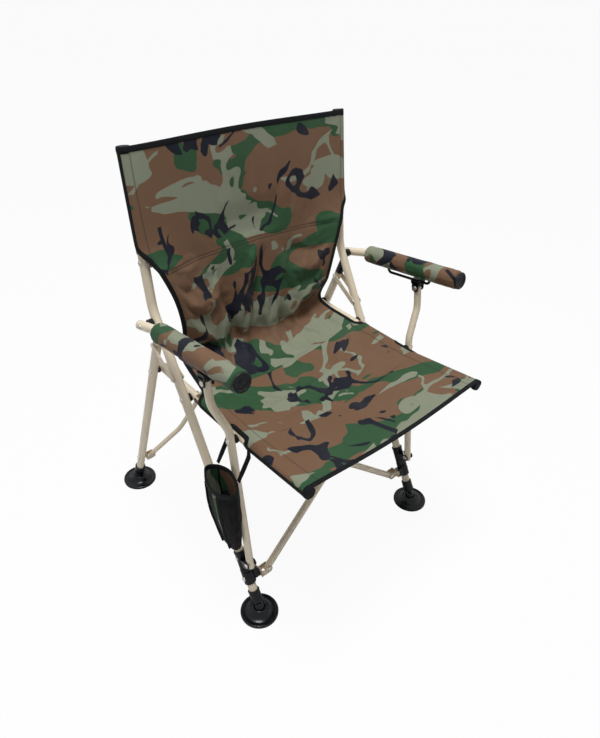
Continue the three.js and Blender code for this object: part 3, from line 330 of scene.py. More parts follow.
class Piece:
    """The solids of one piece, drawn at +X in the row frame and mirrored when side is -1."""

    def __init__(self, name, side=1):
        self.name = name
        self.side = side
        self.bm = bmesh.new()
        self.material = 0

    def add(self, points, faces, place):
        """Adds points and faces, and returns the new vertices."""
        verts = [self.bm.verts.new(place @ Vector(point)) for point in points]
        for face in faces:
            made = self.bm.faces.new([verts[i] for i in face])
            made.material_index = self.material
            made.smooth = True
        return verts

    def sweep(self, path, outline, place, twist=None):
        """Sweeps a closed outline, a list of (x, y), along a path with even frames and flat ends."""
        tangents = tangents_of(path)
        first = tangents[0]
        side = first.cross(Vector((0, 0, 1)))
        if side.length < 0.1:
            side = first.cross(Vector((0, 1, 0)))
        side.normalize()
        points = []
        for i, (point, tangent) in enumerate(zip(path, tangents)):
            side = (side - tangent * side.dot(tangent)).normalized()
            up = side.cross(tangent)
            turn = twist(i / (len(path) - 1)) if twist else 0.0
            across = side * math.cos(turn) + up * math.sin(turn)
            rise = up * math.cos(turn) - side * math.sin(turn)
            points += [point + across * x + rise * y for x, y in outline]
        return self.add(points, ring_faces(len(path), len(outline)), place)

    def tube(self, path, radius, place, sides=28):
        outline = [on_circle(radius, 2 * math.pi * i / sides) for i in range(sides)]
        return self.sweep(path, outline, place)

    def turned(self, profile, place, sides=40, closed=False):
        """Turns a profile of (radius, height) about Z."""
        points = []
        rings = []
        for radius, height in profile:
            if radius < 1e-9:
                rings.append([len(points)])
                points.append((0, 0, height))
                continue
            start = len(points)
            rings.append([start + i for i in range(sides)])
            points += [(*on_circle(radius, 2 * math.pi * i / sides), height) for i in range(sides)]
        faces = []
        pairs = list(zip(rings, rings[1:]))
        if closed:
            pairs.append((rings[-1], rings[0]))
        for low, high in pairs:
            for i in range(sides):
                k = (i + 1) % sides
                if len(low) == 1 and len(high) == 1:
                    continue
                if len(low) == 1:
                    faces.append((low[0], high[k], high[i]))
                elif len(high) == 1:
                    faces.append((low[i], low[k], high[0]))
                else:
                    faces.append((low[i], low[k], high[k], high[i]))
        return self.add(points, faces, place)

    def plate(self, outline, low, high, place, bevel=0.0004):
        """Extrudes a convex outline of (y, z) along X, with its rims rounded."""
        n = len(outline)
        centre_y = sum(y for y, z in outline) / n
        centre_z = sum(z for y, z in outline) / n
        reach = min(math.hypot(y - centre_y, z - centre_z) for y, z in outline)
        shrink = 1 - bevel / reach
        inner = [(centre_y + (y - centre_y) * shrink, centre_z + (z - centre_z) * shrink) for y, z in outline]
        rings = [(low, inner), (low + bevel, outline), (high - bevel, outline), (high, inner)]
        points = [(x, y, z) for x, ring in rings for y, z in ring]
        return self.add(points, ring_faces(len(rings), n), place)

    def head(self, x, y, z, outward, place, radius=RIVET_HEAD_RADIUS, height=RIVET_HEAD_HEIGHT):
        """A domed rivet head on a face at x, standing out along X."""
        dome = [(0.0, -height), (radius, -height * 0.4), (radius, 0.0)]
        for i in range(1, 6):
            turn = math.pi / 2 * i / 6
            dome.append((radius * math.cos(turn) ** 0.8, height * math.sin(turn)))
        dome.append((0.0, height))
        turned = Matrix.Rotation(math.pi / 2 * outward, 4, "Y")
        self.turned(dome, place @ Matrix.Translation((x, y, z)) @ turned, sides=20)

    def head_y(self, x, y, z, outward, place, radius=RIVET_HEAD_RADIUS, height=RIVET_HEAD_HEIGHT):
        """The same head on a face at y, standing out along Y."""
        turned = Matrix.Translation((x, y, z)) @ Matrix.Rotation(math.pi / 2, 4, "Z")
        self.head(0, 0, 0, outward, place @ turned, radius, height)

    def finish(self, materials, body, slot, nodes=(), sharp=math.radians(32)):
        """Makes the object, sets its finish, and joins it to its body of the frame."""
        if self.side < 0:
            bmesh.ops.scale(self.bm, vec=(-1, 1, 1), verts=self.bm.verts)
        bmesh.ops.recalc_face_normals(self.bm, faces=self.bm.faces)
        mesh = bpy.data.meshes.new(self.name)
        self.bm.to_mesh(mesh)
        self.bm.free()
        for material in materials:
            mesh.materials.append(material)
        mesh.set_sharp_from_angle(angle=sharp)
        piece = show(self.name, mesh)
        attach(piece, body)
        if nodes:
            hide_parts(*nodes)
        return piece


# Shader nodes


class Nodes:
    """Short ways to add and join nodes of one tree."""

    def __init__(self, tree):
        self.tree = tree

    def new(self, kind, **settings):
        inputs = settings.pop("inputs", {})
        node = self.tree.nodes.new(kind)
        for name, value in settings.items():
            setattr(node, name, value)
        for name, value in inputs.items():
            self.fill(node.inputs[name], value)
        return node

    def fill(self, socket, value):
        """Joins an output to the socket, or sets the socket's own value."""
        if hasattr(value, "is_output"):
            self.tree.links.new(value, socket)
        else:
            socket.default_value = value

    def math(self, operation, a, b=0.0):
        node = self.new("ShaderNodeMath", operation=operation)
        for socket, value in zip(node.inputs, (a, b)):
            self.fill(socket, value)
        return node.outputs[0]

    def times(self, a, b):
        return self.math("MULTIPLY", a, b)

    def plus(self, a, b):
        return self.math("ADD", a, b)

    def minus(self, a, b):
        return self.math("SUBTRACT", a, b)

    def size(self, value):
        return self.math("ABSOLUTE", value)

    def mix(self, mask, a, b):
        node = self.new("ShaderNodeMix", data_type="RGBA")
        for name, value in (("Factor", mask), ("A", a), ("B", b)):
            self.fill([s for s in node.inputs if s.name == name and s.enabled][0], value)
        return [s for s in node.outputs if s.enabled][0]

    def range(self, value, low, high, to_low=0.0, to_high=1.0, smooth=True):
        shape = "SMOOTHSTEP" if smooth else "LINEAR"
        ends = {"Value": value, "From Min": low, "From Max": high, "To Min": to_low, "To Max": to_high}
        node = self.new("ShaderNodeMapRange", clamp=True, interpolation_type=shape, inputs=ends)
        return node.outputs["Result"]

    def scaled(self, vector, factor):
        node = self.new("ShaderNodeVectorMath", operation="SCALE")
        self.link(vector, node.inputs[0])
        self.link(factor, node.inputs["Scale"])
        return node.outputs[0]

    def noise(self, vector, **settings):
        node = self.new("ShaderNodeTexNoise", inputs=settings)
        self.link(vector, node.inputs["Vector"])
        return node.outputs[0]

    def parts(self, vector):
        node = self.new("ShaderNodeSeparateXYZ")
        self.link(vector, node.inputs[0])
        return node.outputs

    def link(self, a, b):
        self.tree.links.new(a, b)


def new_group(name, inputs, outputs):
    """An empty shader group with named sockets. An input is a vector if it has no default value,
    and each output is a value unless it is called Color."""
    tree = bpy.data.node_groups.new(name, "ShaderNodeTree")
    for label, default in inputs.items():
        kind = "Vector" if default is None else "Float" if isinstance(default, float) else "Color"
        socket = tree.interface.new_socket(label, in_out="INPUT", socket_type=f"NodeSocket{kind}")
        if default is not None:
            socket.default_value = default
    for label in outputs:
        kind = "Color" if label == "Color" else "Float"
        tree.interface.new_socket(label, in_out="OUTPUT", socket_type=f"NodeSocket{kind}")
    nodes = Nodes(tree)
    return tree, nodes, nodes.new("NodeGroupInput").outputs, nodes.new("NodeGroupOutput").inputs


def camouflage_group():
    """Woodland print: a brown ground with green, pale and near-black shapes that lie along X."""
    tree, n, given, out = new_group(
        "Camouflage Print",
        {
            "Vector": None,
            "Size": 1.0,
            "Ground": (0.2, 0.1, 0.06, 1),
            "Green": (0.03, 0.11, 0.05, 1),
            "Pale": (0.27, 0.32, 0.21, 1),
            "Dark": (0.012, 0.016, 0.03, 1),
        },
        ["Color"],
    )
    scaled = n.scaled(given["Vector"], given["Size"])
    edge_blur = 0.006

    def field(stretch, shift, detail, bend):
        mapping = n.new("ShaderNodeMapping", inputs={"Location": shift, "Scale": stretch})
        n.link(scaled, mapping.inputs["Vector"])
        return n.noise(mapping.outputs[0], Scale=1.0, Detail=detail, Roughness=0.5, Distortion=bend)

    def over(value, level):
        """The shapes where a field is above a level."""
        return n.range(value, level, level + edge_blur)

    def arms(value, half, within):
        """Thin branches along a field's middle value."""
        off = n.size(n.minus(value, 0.5))
        return n.times(n.minus(1.0, over(off, half)), within)

    green = over(field((5.4, 9.0, 5.4), (0.0, 0.0, 0.0), 2.2, 0.5), 0.525)
    colour = n.mix(green, given["Ground"], given["Green"])
    near = over(field((5.5, 9.5, 5.5), (3.1, 7.7, 1.3), 1.0, 0.5), 0.50)
    pale = over(field((6.0, 10.5, 6.0), (3.1, 7.7, 1.3), 2.6, 0.5), 0.575)
    prongs = arms(field((7.5, 10.0, 7.5), (13.1, 1.7, 4.3), 1.6, 0.4), 0.020, near)
    colour = n.mix(n.math("MAXIMUM", pale, prongs), colour, given["Pale"])
    near = over(field((6.5, 8.5, 6.5), (9.4, 2.6, 5.2), 1.5, 0.3), 0.535)
    dark = over(field((8.5, 8.5, 8.5), (9.4, 2.6, 5.2), 2.2, 0.9), 0.64)
    branches = arms(field((10.5, 7.5, 9.0), (4.4, 12.6, 8.2), 1.8, 0.7), 0.030, near)
    colour = n.mix(n.math("MAXIMUM", dark, branches), colour, given["Dark"])
    n.link(colour, out["Color"])
    return tree


def weave_group():
    """Plain weave from a flat coordinate: height of the threads and a mask of the gaps."""
    tree, n, given, out = new_group(
        "Plain Weave",
        {"Vector": None, "Threads per Metre": 900.0},
        ["Height", "Gaps"],
    )
    parts = n.parts(n.scaled(given["Vector"], n.times(given["Threads per Metre"], math.pi)))
    across = n.size(n.math("SINE", parts["X"]))
    up = n.size(n.math("SINE", parts["Y"]))
    over = n.math("SINE", n.times(parts["X"], 0.5))
    under = n.math("SINE", n.times(parts["Y"], 0.5))
    order = n.math("GREATER_THAN", n.times(over, under), 0.0)
    warp = n.times(across, order)
    weft = n.times(up, n.minus(1.0, order))
    n.link(n.plus(warp, weft), out["Height"])
    thin = n.math("MINIMUM", across, up)
    n.link(n.range(thin, 0.0, 0.4, 1.0, 0.0), out["Gaps"])
    return tree


def seam_group():
    """A stitched line at a set place of one coordinate: its groove, and the stitches along the other."""
    tree, n, given, out = new_group(
        "Stitched Seam",
        {"Across": 0.0, "Along": 0.0, "Place": 0.0, "Width": 0.0016, "Reach": 1.0},
        ["Groove", "Stitches"],
    )
    stitch_pitch = 0.0045
    off = n.size(n.minus(given["Across"], given["Place"]))
    share = n.math("DIVIDE", off, given["Width"])
    groove = n.range(share, 0.0, 1.6, 1.0, 0.0)
    dash = n.range(n.math("SINE", n.times(given["Along"], 2 * math.pi / stitch_pitch)), -0.3, 0.0)
    line = n.range(share, 0.25, 0.45, 1.0, 0.0)
    within = n.math("LESS_THAN", n.size(given["Along"]), given["Reach"])
    n.link(n.times(groove, within), out["Groove"])
    n.link(n.times(n.times(line, dash), within), out["Stitches"])
    return tree


def wear_group():
    """Handling marks: broad smears, fine scuffs and specks, as masks from 0 to 1."""
    tree, n, given, out = new_group(
        "Handling Wear",
        {"Vector": None, "Scale": 1.0},
        ["Smears", "Scuffs", "Grain"],
    )
    scaled = n.scaled(given["Vector"], given["Scale"])
    smear = n.noise(scaled, Scale=14.0, Detail=5.0, Roughness=0.6)
    stretched = n.new("ShaderNodeMapping", inputs={"Scale": (1.0, 1.0, 0.18), "Rotation": (0.35, 0.5, 0.0)})
    n.link(scaled, stretched.inputs["Vector"])
    scuff = n.noise(stretched.outputs[0], Scale=420.0, Detail=4.0, Roughness=0.75)
    n.link(n.range(smear, 0.42, 0.7), out["Smears"])
    n.link(n.range(scuff, 0.66, 0.78), out["Scuffs"])
    n.link(n.noise(scaled, Scale=2600.0, Detail=2.0), out["Grain"])
    return tree


class Workshop:
    """Materials and shared groups, each made once."""

    def __init__(self):
        self.groups = {}
        self.materials = {}

    def group(self, make):
        if make.__name__ not in self.groups:
            self.groups[make.__name__] = make()
        return self.groups[make.__name__]

    def material(self, make, *values):
        key = (make.__name__, *values)
        if key not in self.materials:
            self.materials[key] = make(*values)
        return self.materials[key]


shop = Workshop()


def new_material(name):
    material = bpy.data.materials.new(name)
    material.use_nodes = True
    nodes = Nodes(material.node_tree)
    return material, nodes, material.node_tree.nodes["Principled BSDF"]


def place_group(nodes, make, **inputs):
    node = nodes.new("ShaderNodeGroup", node_tree=shop.group(make))
    for name, value in inputs.items():
        nodes.fill(node.inputs[name.replace("_", " ")], value)
    return node


def set_values(shader, **values):
    for name, value in values.items():
        shader.inputs[name.replace("_", " ")].default_value = value


def add_bump(nodes, shader, height, distance, strength=1.0):
    bump = nodes.new("ShaderNodeBump", inputs={"Strength": strength, "Distance": distance})
    nodes.link(height, bump.inputs["Height"])
    nodes.link(bump.outputs["Normal"], shader.inputs["Normal"])


def tint(colour, factor):
    return (colour[0] * factor, colour[1] * factor, colour[2] * factor, 1.0)


def paint_material(name, colour, shine):
    """Powder-coated tube: a fine orange-peel surface, faint smears and small rubbed marks."""
    material, n, shader = new_material(name)
    colour = (*colour, 1.0)
    place = n.new("ShaderNodeTexCoord").outputs["Object"]
    wear = place_group(n, wear_group, Vector=place)
    smeared = n.mix(n.times(wear.outputs["Smears"], 0.35), colour, tint(colour, 0.86))
    rubbed = n.mix(n.times(wear.outputs["Scuffs"], 0.45), smeared, (0.36, 0.30, 0.23, 1.0))
    n.link(rubbed, shader.inputs["Base Color"])
    rough = n.plus(n.times(wear.outputs["Smears"], 0.12), shine)
    n.link(n.plus(rough, n.times(wear.outputs["Scuffs"], 0.2)), shader.inputs["Roughness"])
    set_values(shader, Coat_Weight=0.25, Coat_Roughness=0.22)
    add_bump(n, shader, n.noise(place, Scale=520.0, Detail=1.5), 0.00005, 0.6)
    return material


def plastic_material(name, colour, roughness):
    """Moulded black plastic: fine grain, light dust and small rubbed marks."""
    material, n, shader = new_material(name)
    colour = (*colour, 1.0)
    place = n.new("ShaderNodeTexCoord").outputs["Object"]
    wear = place_group(n, wear_group, Vector=place)
    dusty = n.mix(n.times(wear.outputs["Smears"], 0.25), colour, (0.022, 0.023, 0.026, 1.0))
    rubbed = n.mix(n.times(wear.outputs["Scuffs"], 0.35), dusty, (0.06, 0.06, 0.06, 1.0))
    n.link(rubbed, shader.inputs["Base Color"])
    n.link(n.plus(n.times(wear.outputs["Smears"], 0.18), roughness), shader.inputs["Roughness"])
    set_values(shader, Specular_IOR_Level=0.22)
    add_bump(n, shader, wear.outputs["Grain"], 0.00004, 0.5)
    return material


def steel_material():
    material, n, shader = new_material("zinc_rivet")
    place = n.new("ShaderNodeTexCoord").outputs["Object"]
    wear = place_group(n, wear_group, Vector=place)
    metal = n.mix(wear.outputs["Smears"], (0.62, 0.60, 0.56, 1), (0.42, 0.40, 0.37, 1))
    n.link(metal, shader.inputs["Base Color"])
    set_values(shader, Metallic=1.0)
    n.link(n.range(wear.outputs["Smears"], 0.0, 1.0, 0.28, 0.5), shader.inputs["Roughness"])
    add_bump(n, shader, wear.outputs["Grain"], 0.00003, 0.5)
    return material


def camo_colours(settings):
    return {
        "Ground": (*settings.camo_brown, 1.0),
        "Green": (*settings.camo_green, 1.0),
        "Pale": (*settings.camo_pale, 1.0),
        "Dark": (*settings.camo_dark, 1.0),
    }


def camo_material(name, flat, shift, turn=0.0, seams=()):
    """Printed polyester: camouflage, plain weave with painted shade in its gaps, soft dusty lights on the
    threads, and stitched seams with painted shade in their grooves.

    flat reads the sheet's own coordinates in metres; otherwise the print is solid in space.
    Each seam is (which coordinate it crosses, its place, how far it reaches along the other)."""
    settings = bpy.context.scene.camp_chair_cloth
    material, n, shader = new_material(name)
    source = n.new("ShaderNodeTexCoord")
    place = source.outputs["UV" if flat else "Object"]
    mapping = n.new("ShaderNodeMapping", inputs={"Location": shift, "Rotation": (0.0, 0.0, turn)})
    n.link(place, mapping.inputs["Vector"])
    print_node = place_group(n, camouflage_group, Vector=mapping.outputs[0], Size=settings.print_scale)
    for label, value in camo_colours(settings).items():
        print_node.inputs[label].default_value = value
    weave = place_group(n, weave_group, Vector=place, Threads_per_Metre=float(settings.threads_per_metre))
    wear = place_group(n, wear_group, Vector=place, Scale=0.6)
    faded = n.mix(n.times(wear.outputs["Smears"], 0.05), print_node.outputs["Color"], (0.30, 0.27, 0.22, 1))
    # Painted shade: the lines between the threads are darkened towards near-black, as shade in the weave's
    # gaps.
    shaded = n.mix(n.times(weave.outputs["Gaps"], 0.35), faded, (0.012, 0.012, 0.012, 1.0))
    height = n.times(weave.outputs["Height"], 0.12)
    parts = n.parts(place)
    for across, at_place, reach in seams:
        other = "Y" if across == "X" else "X"
        seam = place_group(
            n, seam_group, Across=parts[across], Along=parts[other], Place=at_place, Reach=reach
        )
        # Painted shade: the cloth is darkened in each seam's groove. The stitches next are the thread's own
        # darker colour.
        shaded = n.mix(n.times(seam.outputs["Groove"], 0.35), shaded, (0.015, 0.014, 0.012, 1.0))
        shaded = n.mix(n.times(seam.outputs["Stitches"], 0.8), shaded, (0.05, 0.05, 0.045, 1.0))
        height = n.minus(height, n.times(seam.outputs["Groove"], 0.8))
        height = n.plus(height, n.times(seam.outputs["Stitches"], 0.5))
    n.link(shaded, shader.inputs["Base Color"])
    n.link(n.range(weave.outputs["Height"], 0.0, 1.0, 0.72, 0.56), shader.inputs["Roughness"])
    set_values(shader, Specular_IOR_Level=0.14, Sheen_Weight=0.03, Sheen_Roughness=0.5)
    add_bump(n, shader, height, 0.0006, 0.8)
    return material


def webbing_material(name, colour):
    """Black tape: a close, fine texture and a faint grey bloom."""
    material, n, shader = new_material(name)
    place = n.new("ShaderNodeTexCoord").outputs["Object"]
    wear = place_group(n, wear_group, Vector=place)
    rib = n.noise(place, Scale=900.0, Detail=2.0, Roughness=0.6)
    colour = (*colour, 1.0)
    worn = n.mix(n.times(wear.outputs["Smears"], 0.4), colour, tint(colour, 2.2))
    n.link(worn, shader.inputs["Base Color"])
    n.link(n.range(rib, 0.3, 0.7, 0.55, 0.8), shader.inputs["Roughness"])
    set_values(shader, Specular_IOR_Level=0.12, Sheen_Weight=0.02)
    add_bump(n, shader, rib, 0.0005, 0.8)
    return material


def mesh_material():
    """Open black net: square holes between fine threads."""
    net_pitch = 0.0024
    material, n, shader = new_material("pocket_net")
    place = n.new("ShaderNodeTexCoord").outputs["UV"]
    weave = place_group(n, weave_group, Vector=place, Threads_per_Metre=420.0)
    wear = place_group(n, wear_group, Vector=place)
    thread = n.mix(wear.outputs["Smears"], (0.003, 0.0034, 0.004, 1), (0.007, 0.007, 0.008, 1))
    n.link(thread, shader.inputs["Base Color"])
    n.link(n.range(wear.outputs["Grain"], 0.3, 0.7, 0.5, 0.7), shader.inputs["Roughness"])
    parts = n.parts(place)
    threads = []
    for axis in ("X", "Y"):
        wave = n.math("SINE", n.times(parts[axis], 2 * math.pi / net_pitch))
        threads.append(n.range(wave, 0.1, 0.35))
    n.link(n.math("MAXIMUM", threads[0], threads[1]), shader.inputs["Alpha"])
    set_values(shader, Specular_IOR_Level=0.1)
    add_bump(n, shader, weave.outputs["Height"], 0.0003, 0.6)
    return material


def frame_paint():
    colours = bpy.context.scene.camp_chair_frame
    return shop.material(paint_material, "cream_powder_coat", tuple(colours.frame_colour), 0.34)


def bracket_paint():
    colours = bpy.context.scene.camp_chair_frame
    return shop.material(paint_material, "tan_bracket_paint", tuple(colours.bracket_colour), 0.40)


def black_plastic():
    colours = bpy.context.scene.camp_chair_frame
    return shop.material(plastic_material, "black_moulding", tuple(colours.plastic_colour), 0.26)


def black_rubber():
    colours = bpy.context.scene.camp_chair_frame
    return shop.material(plastic_material, "foot_rubber", tuple(colours.plastic_colour), 0.22)


def steel():
    return shop.material(steel_material)


def binding_tape():
    settings = bpy.context.scene.camp_chair_cloth
    return shop.material(webbing_material, "binding_tape", tuple(settings.binding_colour))


SIDES = (("left", 1), ("right", -1))


# Tubes of the frame


def build_upright(name, side):
    """The front leg and back tube with its bolts."""
    piece = Piece(f"{name}_tube", side)
    place = side_frame(UPRIGHT_X, FRONT_FOOT, UPRIGHT_LEAN)
    low = Vector((0, 0, FRONT_BALL_ALONG + FERRULE_SEAT + GAP))
    path = bent_path([low, (0, 0, UPRIGHT_BEND), on_upper(UPPER_LENGTH)], UPRIGHT_BEND_RADIUS)
    piece.tube(path, UPRIGHT_RADIUS, place)
    piece.material = 1
    plate_face = UPRIGHT_RADIUS + GAP + PLATE_THICKNESS + GAP
    rail_inner = RAIL_X - RAIL_RADIUS - UPRIGHT_X - GAP
    pin(piece, rail_inner, 0, 0, SEAT_PIVOT_ALONG, place)
    piece.head(rail_inner, 0, SEAT_PIVOT_ALONG, -1, place, height=RIVET_TAIL_HEIGHT)
    piece.head(UPRIGHT_RADIUS - GAP, 0, SEAT_PIVOT_ALONG, 1, place)
    pin(piece, -plate_face, plate_face, 0, LINK_BOLT_ALONG, place)
    piece.head(-plate_face, 0, LINK_BOLT_ALONG, -1, place, height=RIVET_TAIL_HEIGHT)
    piece.head(plate_face, 0, LINK_BOLT_ALONG, 1, place)
    top = on_upper(REAR_CROSS_RISE)
    piece.head(UPRIGHT_RADIUS - GAP, top.y, top.z, 1, place)
    pin(piece, 0, ARM_X - UPRIGHT_X - ARM_RADIUS - GAP, 0, ARM_PIVOT_ALONG, place)
    return piece


def pin(piece, low, high, y, z, place):
    """A plain rivet shank along X."""
    piece.tube([Vector((low, y, z)), Vector((high, y, z))], SHANK_RADIUS, place, sides=16)


def build_rear_leg(name, side):
    """The straight rear leg with its seat rail rivet."""
    piece = Piece(f"{name}_tube", side)
    place = side_frame(UPRIGHT_X, REAR_FOOT, REAR_LEG_LEAN)
    low = Vector((0, 0, REAR_BALL_ALONG + FERRULE_SEAT + GAP))
    high = Vector((0, 0, REAR_LEG_PIVOT_ALONG + REAR_LEG_TOP + REAR_LEG_END))
    piece.tube([low, high], UPRIGHT_RADIUS, place)
    piece.material = 1
    rail_inner = RAIL_X - RAIL_RADIUS - UPRIGHT_X - GAP
    pin(piece, rail_inner, 0, 0, REAR_LEG_PIVOT_ALONG, place)
    piece.head(rail_inner, 0, REAR_LEG_PIVOT_ALONG, -1, place, height=RIVET_TAIL_HEIGHT)
    piece.head(UPRIGHT_RADIUS - GAP, 0, REAR_LEG_PIVOT_ALONG, 1, place)
    return piece


def rail_corners(rear, front):
    share = (front - RAIL_BEND_REACH) / (RAIL_FRONT_REACH - RAIL_BEND_REACH)
    return [
        Vector((0, rear, 0)),
        Vector((0, -RAIL_BEND_REACH, 0)),
        Vector((RAIL_FRONT_SPLAY * share, -front, RAIL_FRONT_RISE * share)),
    ]


def rail_frame():
    return side_frame(RAIL_X, SEAT_PIVOT, -RAIL_TILT)


def domed_end(piece, centre, direction, radius, place, rise=0.002):
    """A shallow pressed cap on a tube's end."""
    turned = direction.to_track_quat("Z", "Y").to_matrix().to_4x4()
    profile = [(radius, -rise), (radius, 0.0)]
    profile += [(radius * 0.94, rise * 0.55), (radius * 0.7, rise), (0.0, rise * 1.1)]
    piece.turned(profile, place @ Matrix.Translation(centre) @ turned, sides=28)


def build_seat_rail(name, side):
    """The seat rail, with a black plug at its rear end."""
    piece = Piece(f"{name}_tube", side)
    path = bent_path(rail_corners(RAIL_REAR_REACH - 0.0015, RAIL_FRONT_REACH), RAIL_BEND_RADIUS)
    piece.tube(path, RAIL_RADIUS, rail_frame())
    piece.material = 1
    domed_end(piece, path[0], Vector((0, 1, 0)), RAIL_RADIUS + 0.0004, rail_frame(), 0.0012)
    return piece


def build_arm_post(name, side):
    """The arm post, stepped outwards above the seat rail."""
    piece = Piece(f"{name}_tube", side)
    place = side_frame(UPRIGHT_X, SLIDER_PIN, POST_LEAN)
    step = ARM_X - UPRIGHT_X
    corners = [
        (0, 0, -POST_END),
        (0, 0, POST_PIVOT_ALONG + JOG_START),
        (step, 0, POST_PIVOT_ALONG + JOG_END),
        (step, 0, RUNNER_ALONG + POST_TOP),
    ]
    piece.tube(bent_path(corners, POST_BEND_RADIUS), POST_RADIUS, place)
    piece.material = 1
    piece.head(POST_RADIUS - GAP, 0, POST_PIVOT_ALONG, 1, place)
    return piece


def build_arm_tube(name, side):
    """The tube inside the foam arm."""
    piece = Piece(f"{name}_tube", side)
    place = side_frame(ARM_X, ARM_PIVOT, ARM_PITCH)
    slope = ARM_RISE / ARM_BEND_REACH
    corners = [
        (0, ARM_REAR_REACH - 0.002, -ARM_REAR_REACH * slope),
        (0, -ARM_BEND_REACH, ARM_RISE),
        (0, -ARM_FRONT_REACH, ARM_RISE),
    ]
    path = bent_path(corners, ARM_BEND_RADIUS)
    piece.tube(path, ARM_RADIUS, place)
    domed_end(piece, path[0], path[0] - path[1], ARM_RADIUS, place, 0.0018)
    piece.material = 1
    piece.head(ARM_RADIUS - GAP, 0, 0, 1, place)
    return piece


def cross_corners(pin_x, layer, height, knee_in=0.0, knee_up=0.0):
    """Centreline of a crossed tube, an end reach past both pins."""
    low = Vector((pin_x, layer, 0))
    high = Vector((-pin_x, layer, height))
    knees = []
    if knee_in:
        knee_x = pin_x - knee_in
        knees = [Vector((knee_x, layer, knee_up)), Vector((-knee_x, layer, height - knee_up))]
    inner = [low, *knees, high]
    start = low + (low - inner[1]).normalized() * CROSS_END
    end = high + (high - inner[-2]).normalized() * CROSS_END
    return [start, *knees, end]


def build_cross_tube(name, side, place, corners, radius, layer, height):
    """One tube of a crossed pair, with the rivet at its middle."""
    piece = Piece(f"{name}_tube", side)
    path = bent_path(corners, CROSS_BEND_RADIUS)
    cap = radius * 0.25
    path[0] = path[0] + (path[1] - path[0]).normalized() * cap
    path[-1] = path[-1] + (path[-2] - path[-1]).normalized() * cap
    piece.tube(path, radius, place, sides=24)
    domed_end(piece, path[0], path[0] - path[1], radius, place, cap)
    domed_end(piece, path[-1], path[-1] - path[-2], radius, place, cap)
    piece.material = 1
    outward = math.copysign(1, layer)
    piece.head_y(0, layer + outward * (radius - 0.0006), height / 2, outward, place)
    shank = [Vector((0, layer, height / 2)), Vector((0, outward * GAP, height / 2))]
    piece.tube(shank, RIVET_HEAD_RADIUS, place, sides=20)
    return piece


# Brackets


def half_round(centre, across, direction, radius, steps=8):
    """Points of a half circle that bulges towards direction."""
    points = []
    for i in range(steps + 1):
        along_across, along_direction = on_circle(radius, math.pi * i / steps)
        points.append(centre + across * along_across + direction * along_direction)
    return points


def bar_outline(low_y, low_z, high_y, high_z, radius, both_round=False):
    """Outline of a bar with a round end at its second point, and a square or round one at its first."""
    low, high = Vector((low_y, low_z)), Vector((high_y, high_z))
    direction = (high - low).normalized()
    across = Vector((direction.y, -direction.x))
    far = half_round(high, across, direction, radius)
    if both_round:
        points = far + half_round(low, -across, -direction, radius)
    else:
        points = [low + across * radius, *far, low - across * radius]
    return [(p.x, p.y) for p in reversed(points)]


def soft_rectangle(low_y, high_y, low_z, high_z, radius, steps=4):
    """Outline of a rectangle in the side plane with rounded corners."""
    corners = [
        (high_y - radius, high_z - radius, 0),
        (low_y + radius, high_z - radius, 1),
        (low_y + radius, low_z + radius, 2),
        (high_y - radius, low_z + radius, 3),
    ]
    points = []
    for y, z, quarter in corners:
        for i in range(steps + 1):
            off_y, off_z = on_circle(radius, math.pi / 2 * (quarter + i / steps))
            points.append((y + off_y, z + off_z))
    return points


def build_slider(name, side):
    """The sleeve that slides on the front leg, with two ears for the arm post."""
    piece = Piece(f"{name}_moulding", side)
    place = side_frame(UPRIGHT_X, FRONT_FOOT, UPRIGHT_LEAN)
    low, high = SLIDER_ALONG - SLIDER_HALF + GAP, SLIDER_ALONG + SLIDER_HALF
    bore = UPRIGHT_RADIUS + GAP
    lip = 0.0016
    ring = [
        (bore, low),
        (SLIDER_RADIUS - lip / 2, low),
        (SLIDER_RADIUS, low + lip / 2),
        (SLIDER_RADIUS, low + 3 * lip),
        (SLIDER_RADIUS - lip / 2, low + 4 * lip),
        (SLIDER_RADIUS - lip / 2, high - 4 * lip),
        (SLIDER_RADIUS, high - 3 * lip),
        (SLIDER_RADIUS, high - lip / 2),
        (SLIDER_RADIUS - lip / 2, high),
        (bore, high),
    ]
    piece.turned(ring, place, sides=36, closed=True)
    inner = POST_RADIUS + GAP
    for edge in (-1, 1):
        faces = sorted((edge * inner, edge * (inner + EAR_THICKNESS)))
        outline = bar_outline(-UPRIGHT_RADIUS, SLIDER_ALONG, -EAR_REACH, SLIDER_ALONG, EAR_RADIUS)
        piece.plate(outline, faces[0], faces[1], place, bevel=0.0006)
    piece.material = 1
    outer = inner + EAR_THICKNESS
    pin(piece, -outer, outer, -EAR_REACH, SLIDER_ALONG, place)
    for edge in (-1, 1):
        piece.head(edge * outer, -EAR_REACH, SLIDER_ALONG, edge, place)
    piece.head(SLIDER_RADIUS - 0.0004, 0, SLIDER_ALONG + 0.010, 1, place, radius=0.004)
    return piece


def build_front_saddle(name, side):
    """The collar on the front leg that carries the lower clevis."""
    piece = Piece(f"{name}_moulding", side)
    place = side_frame(UPRIGHT_X, FRONT_FOOT, UPRIGHT_LEAN)
    low, high = FRONT_CROSS_ALONG - 0.015, FRONT_CROSS_ALONG + 0.015 - GAP
    bore = UPRIGHT_RADIUS + GAP
    lip = 0.0014
    ring = [
        (bore, low),
        (SLIDER_RADIUS - lip, low),
        (SLIDER_RADIUS, low + lip),
        (SLIDER_RADIUS, high - lip),
        (SLIDER_RADIUS - lip, high),
        (bore, high),
    ]
    piece.turned(ring, place, sides=36, closed=True)
    boss = soft_rectangle(-0.010, 0.010, FRONT_CROSS_ALONG - 0.010, FRONT_CROSS_ALONG + 0.010, 0.003)
    piece.plate(boss, SADDLE_FACE_X - UPRIGHT_X, -UPRIGHT_RADIUS - GAP, place, bevel=0.0006)
    return piece


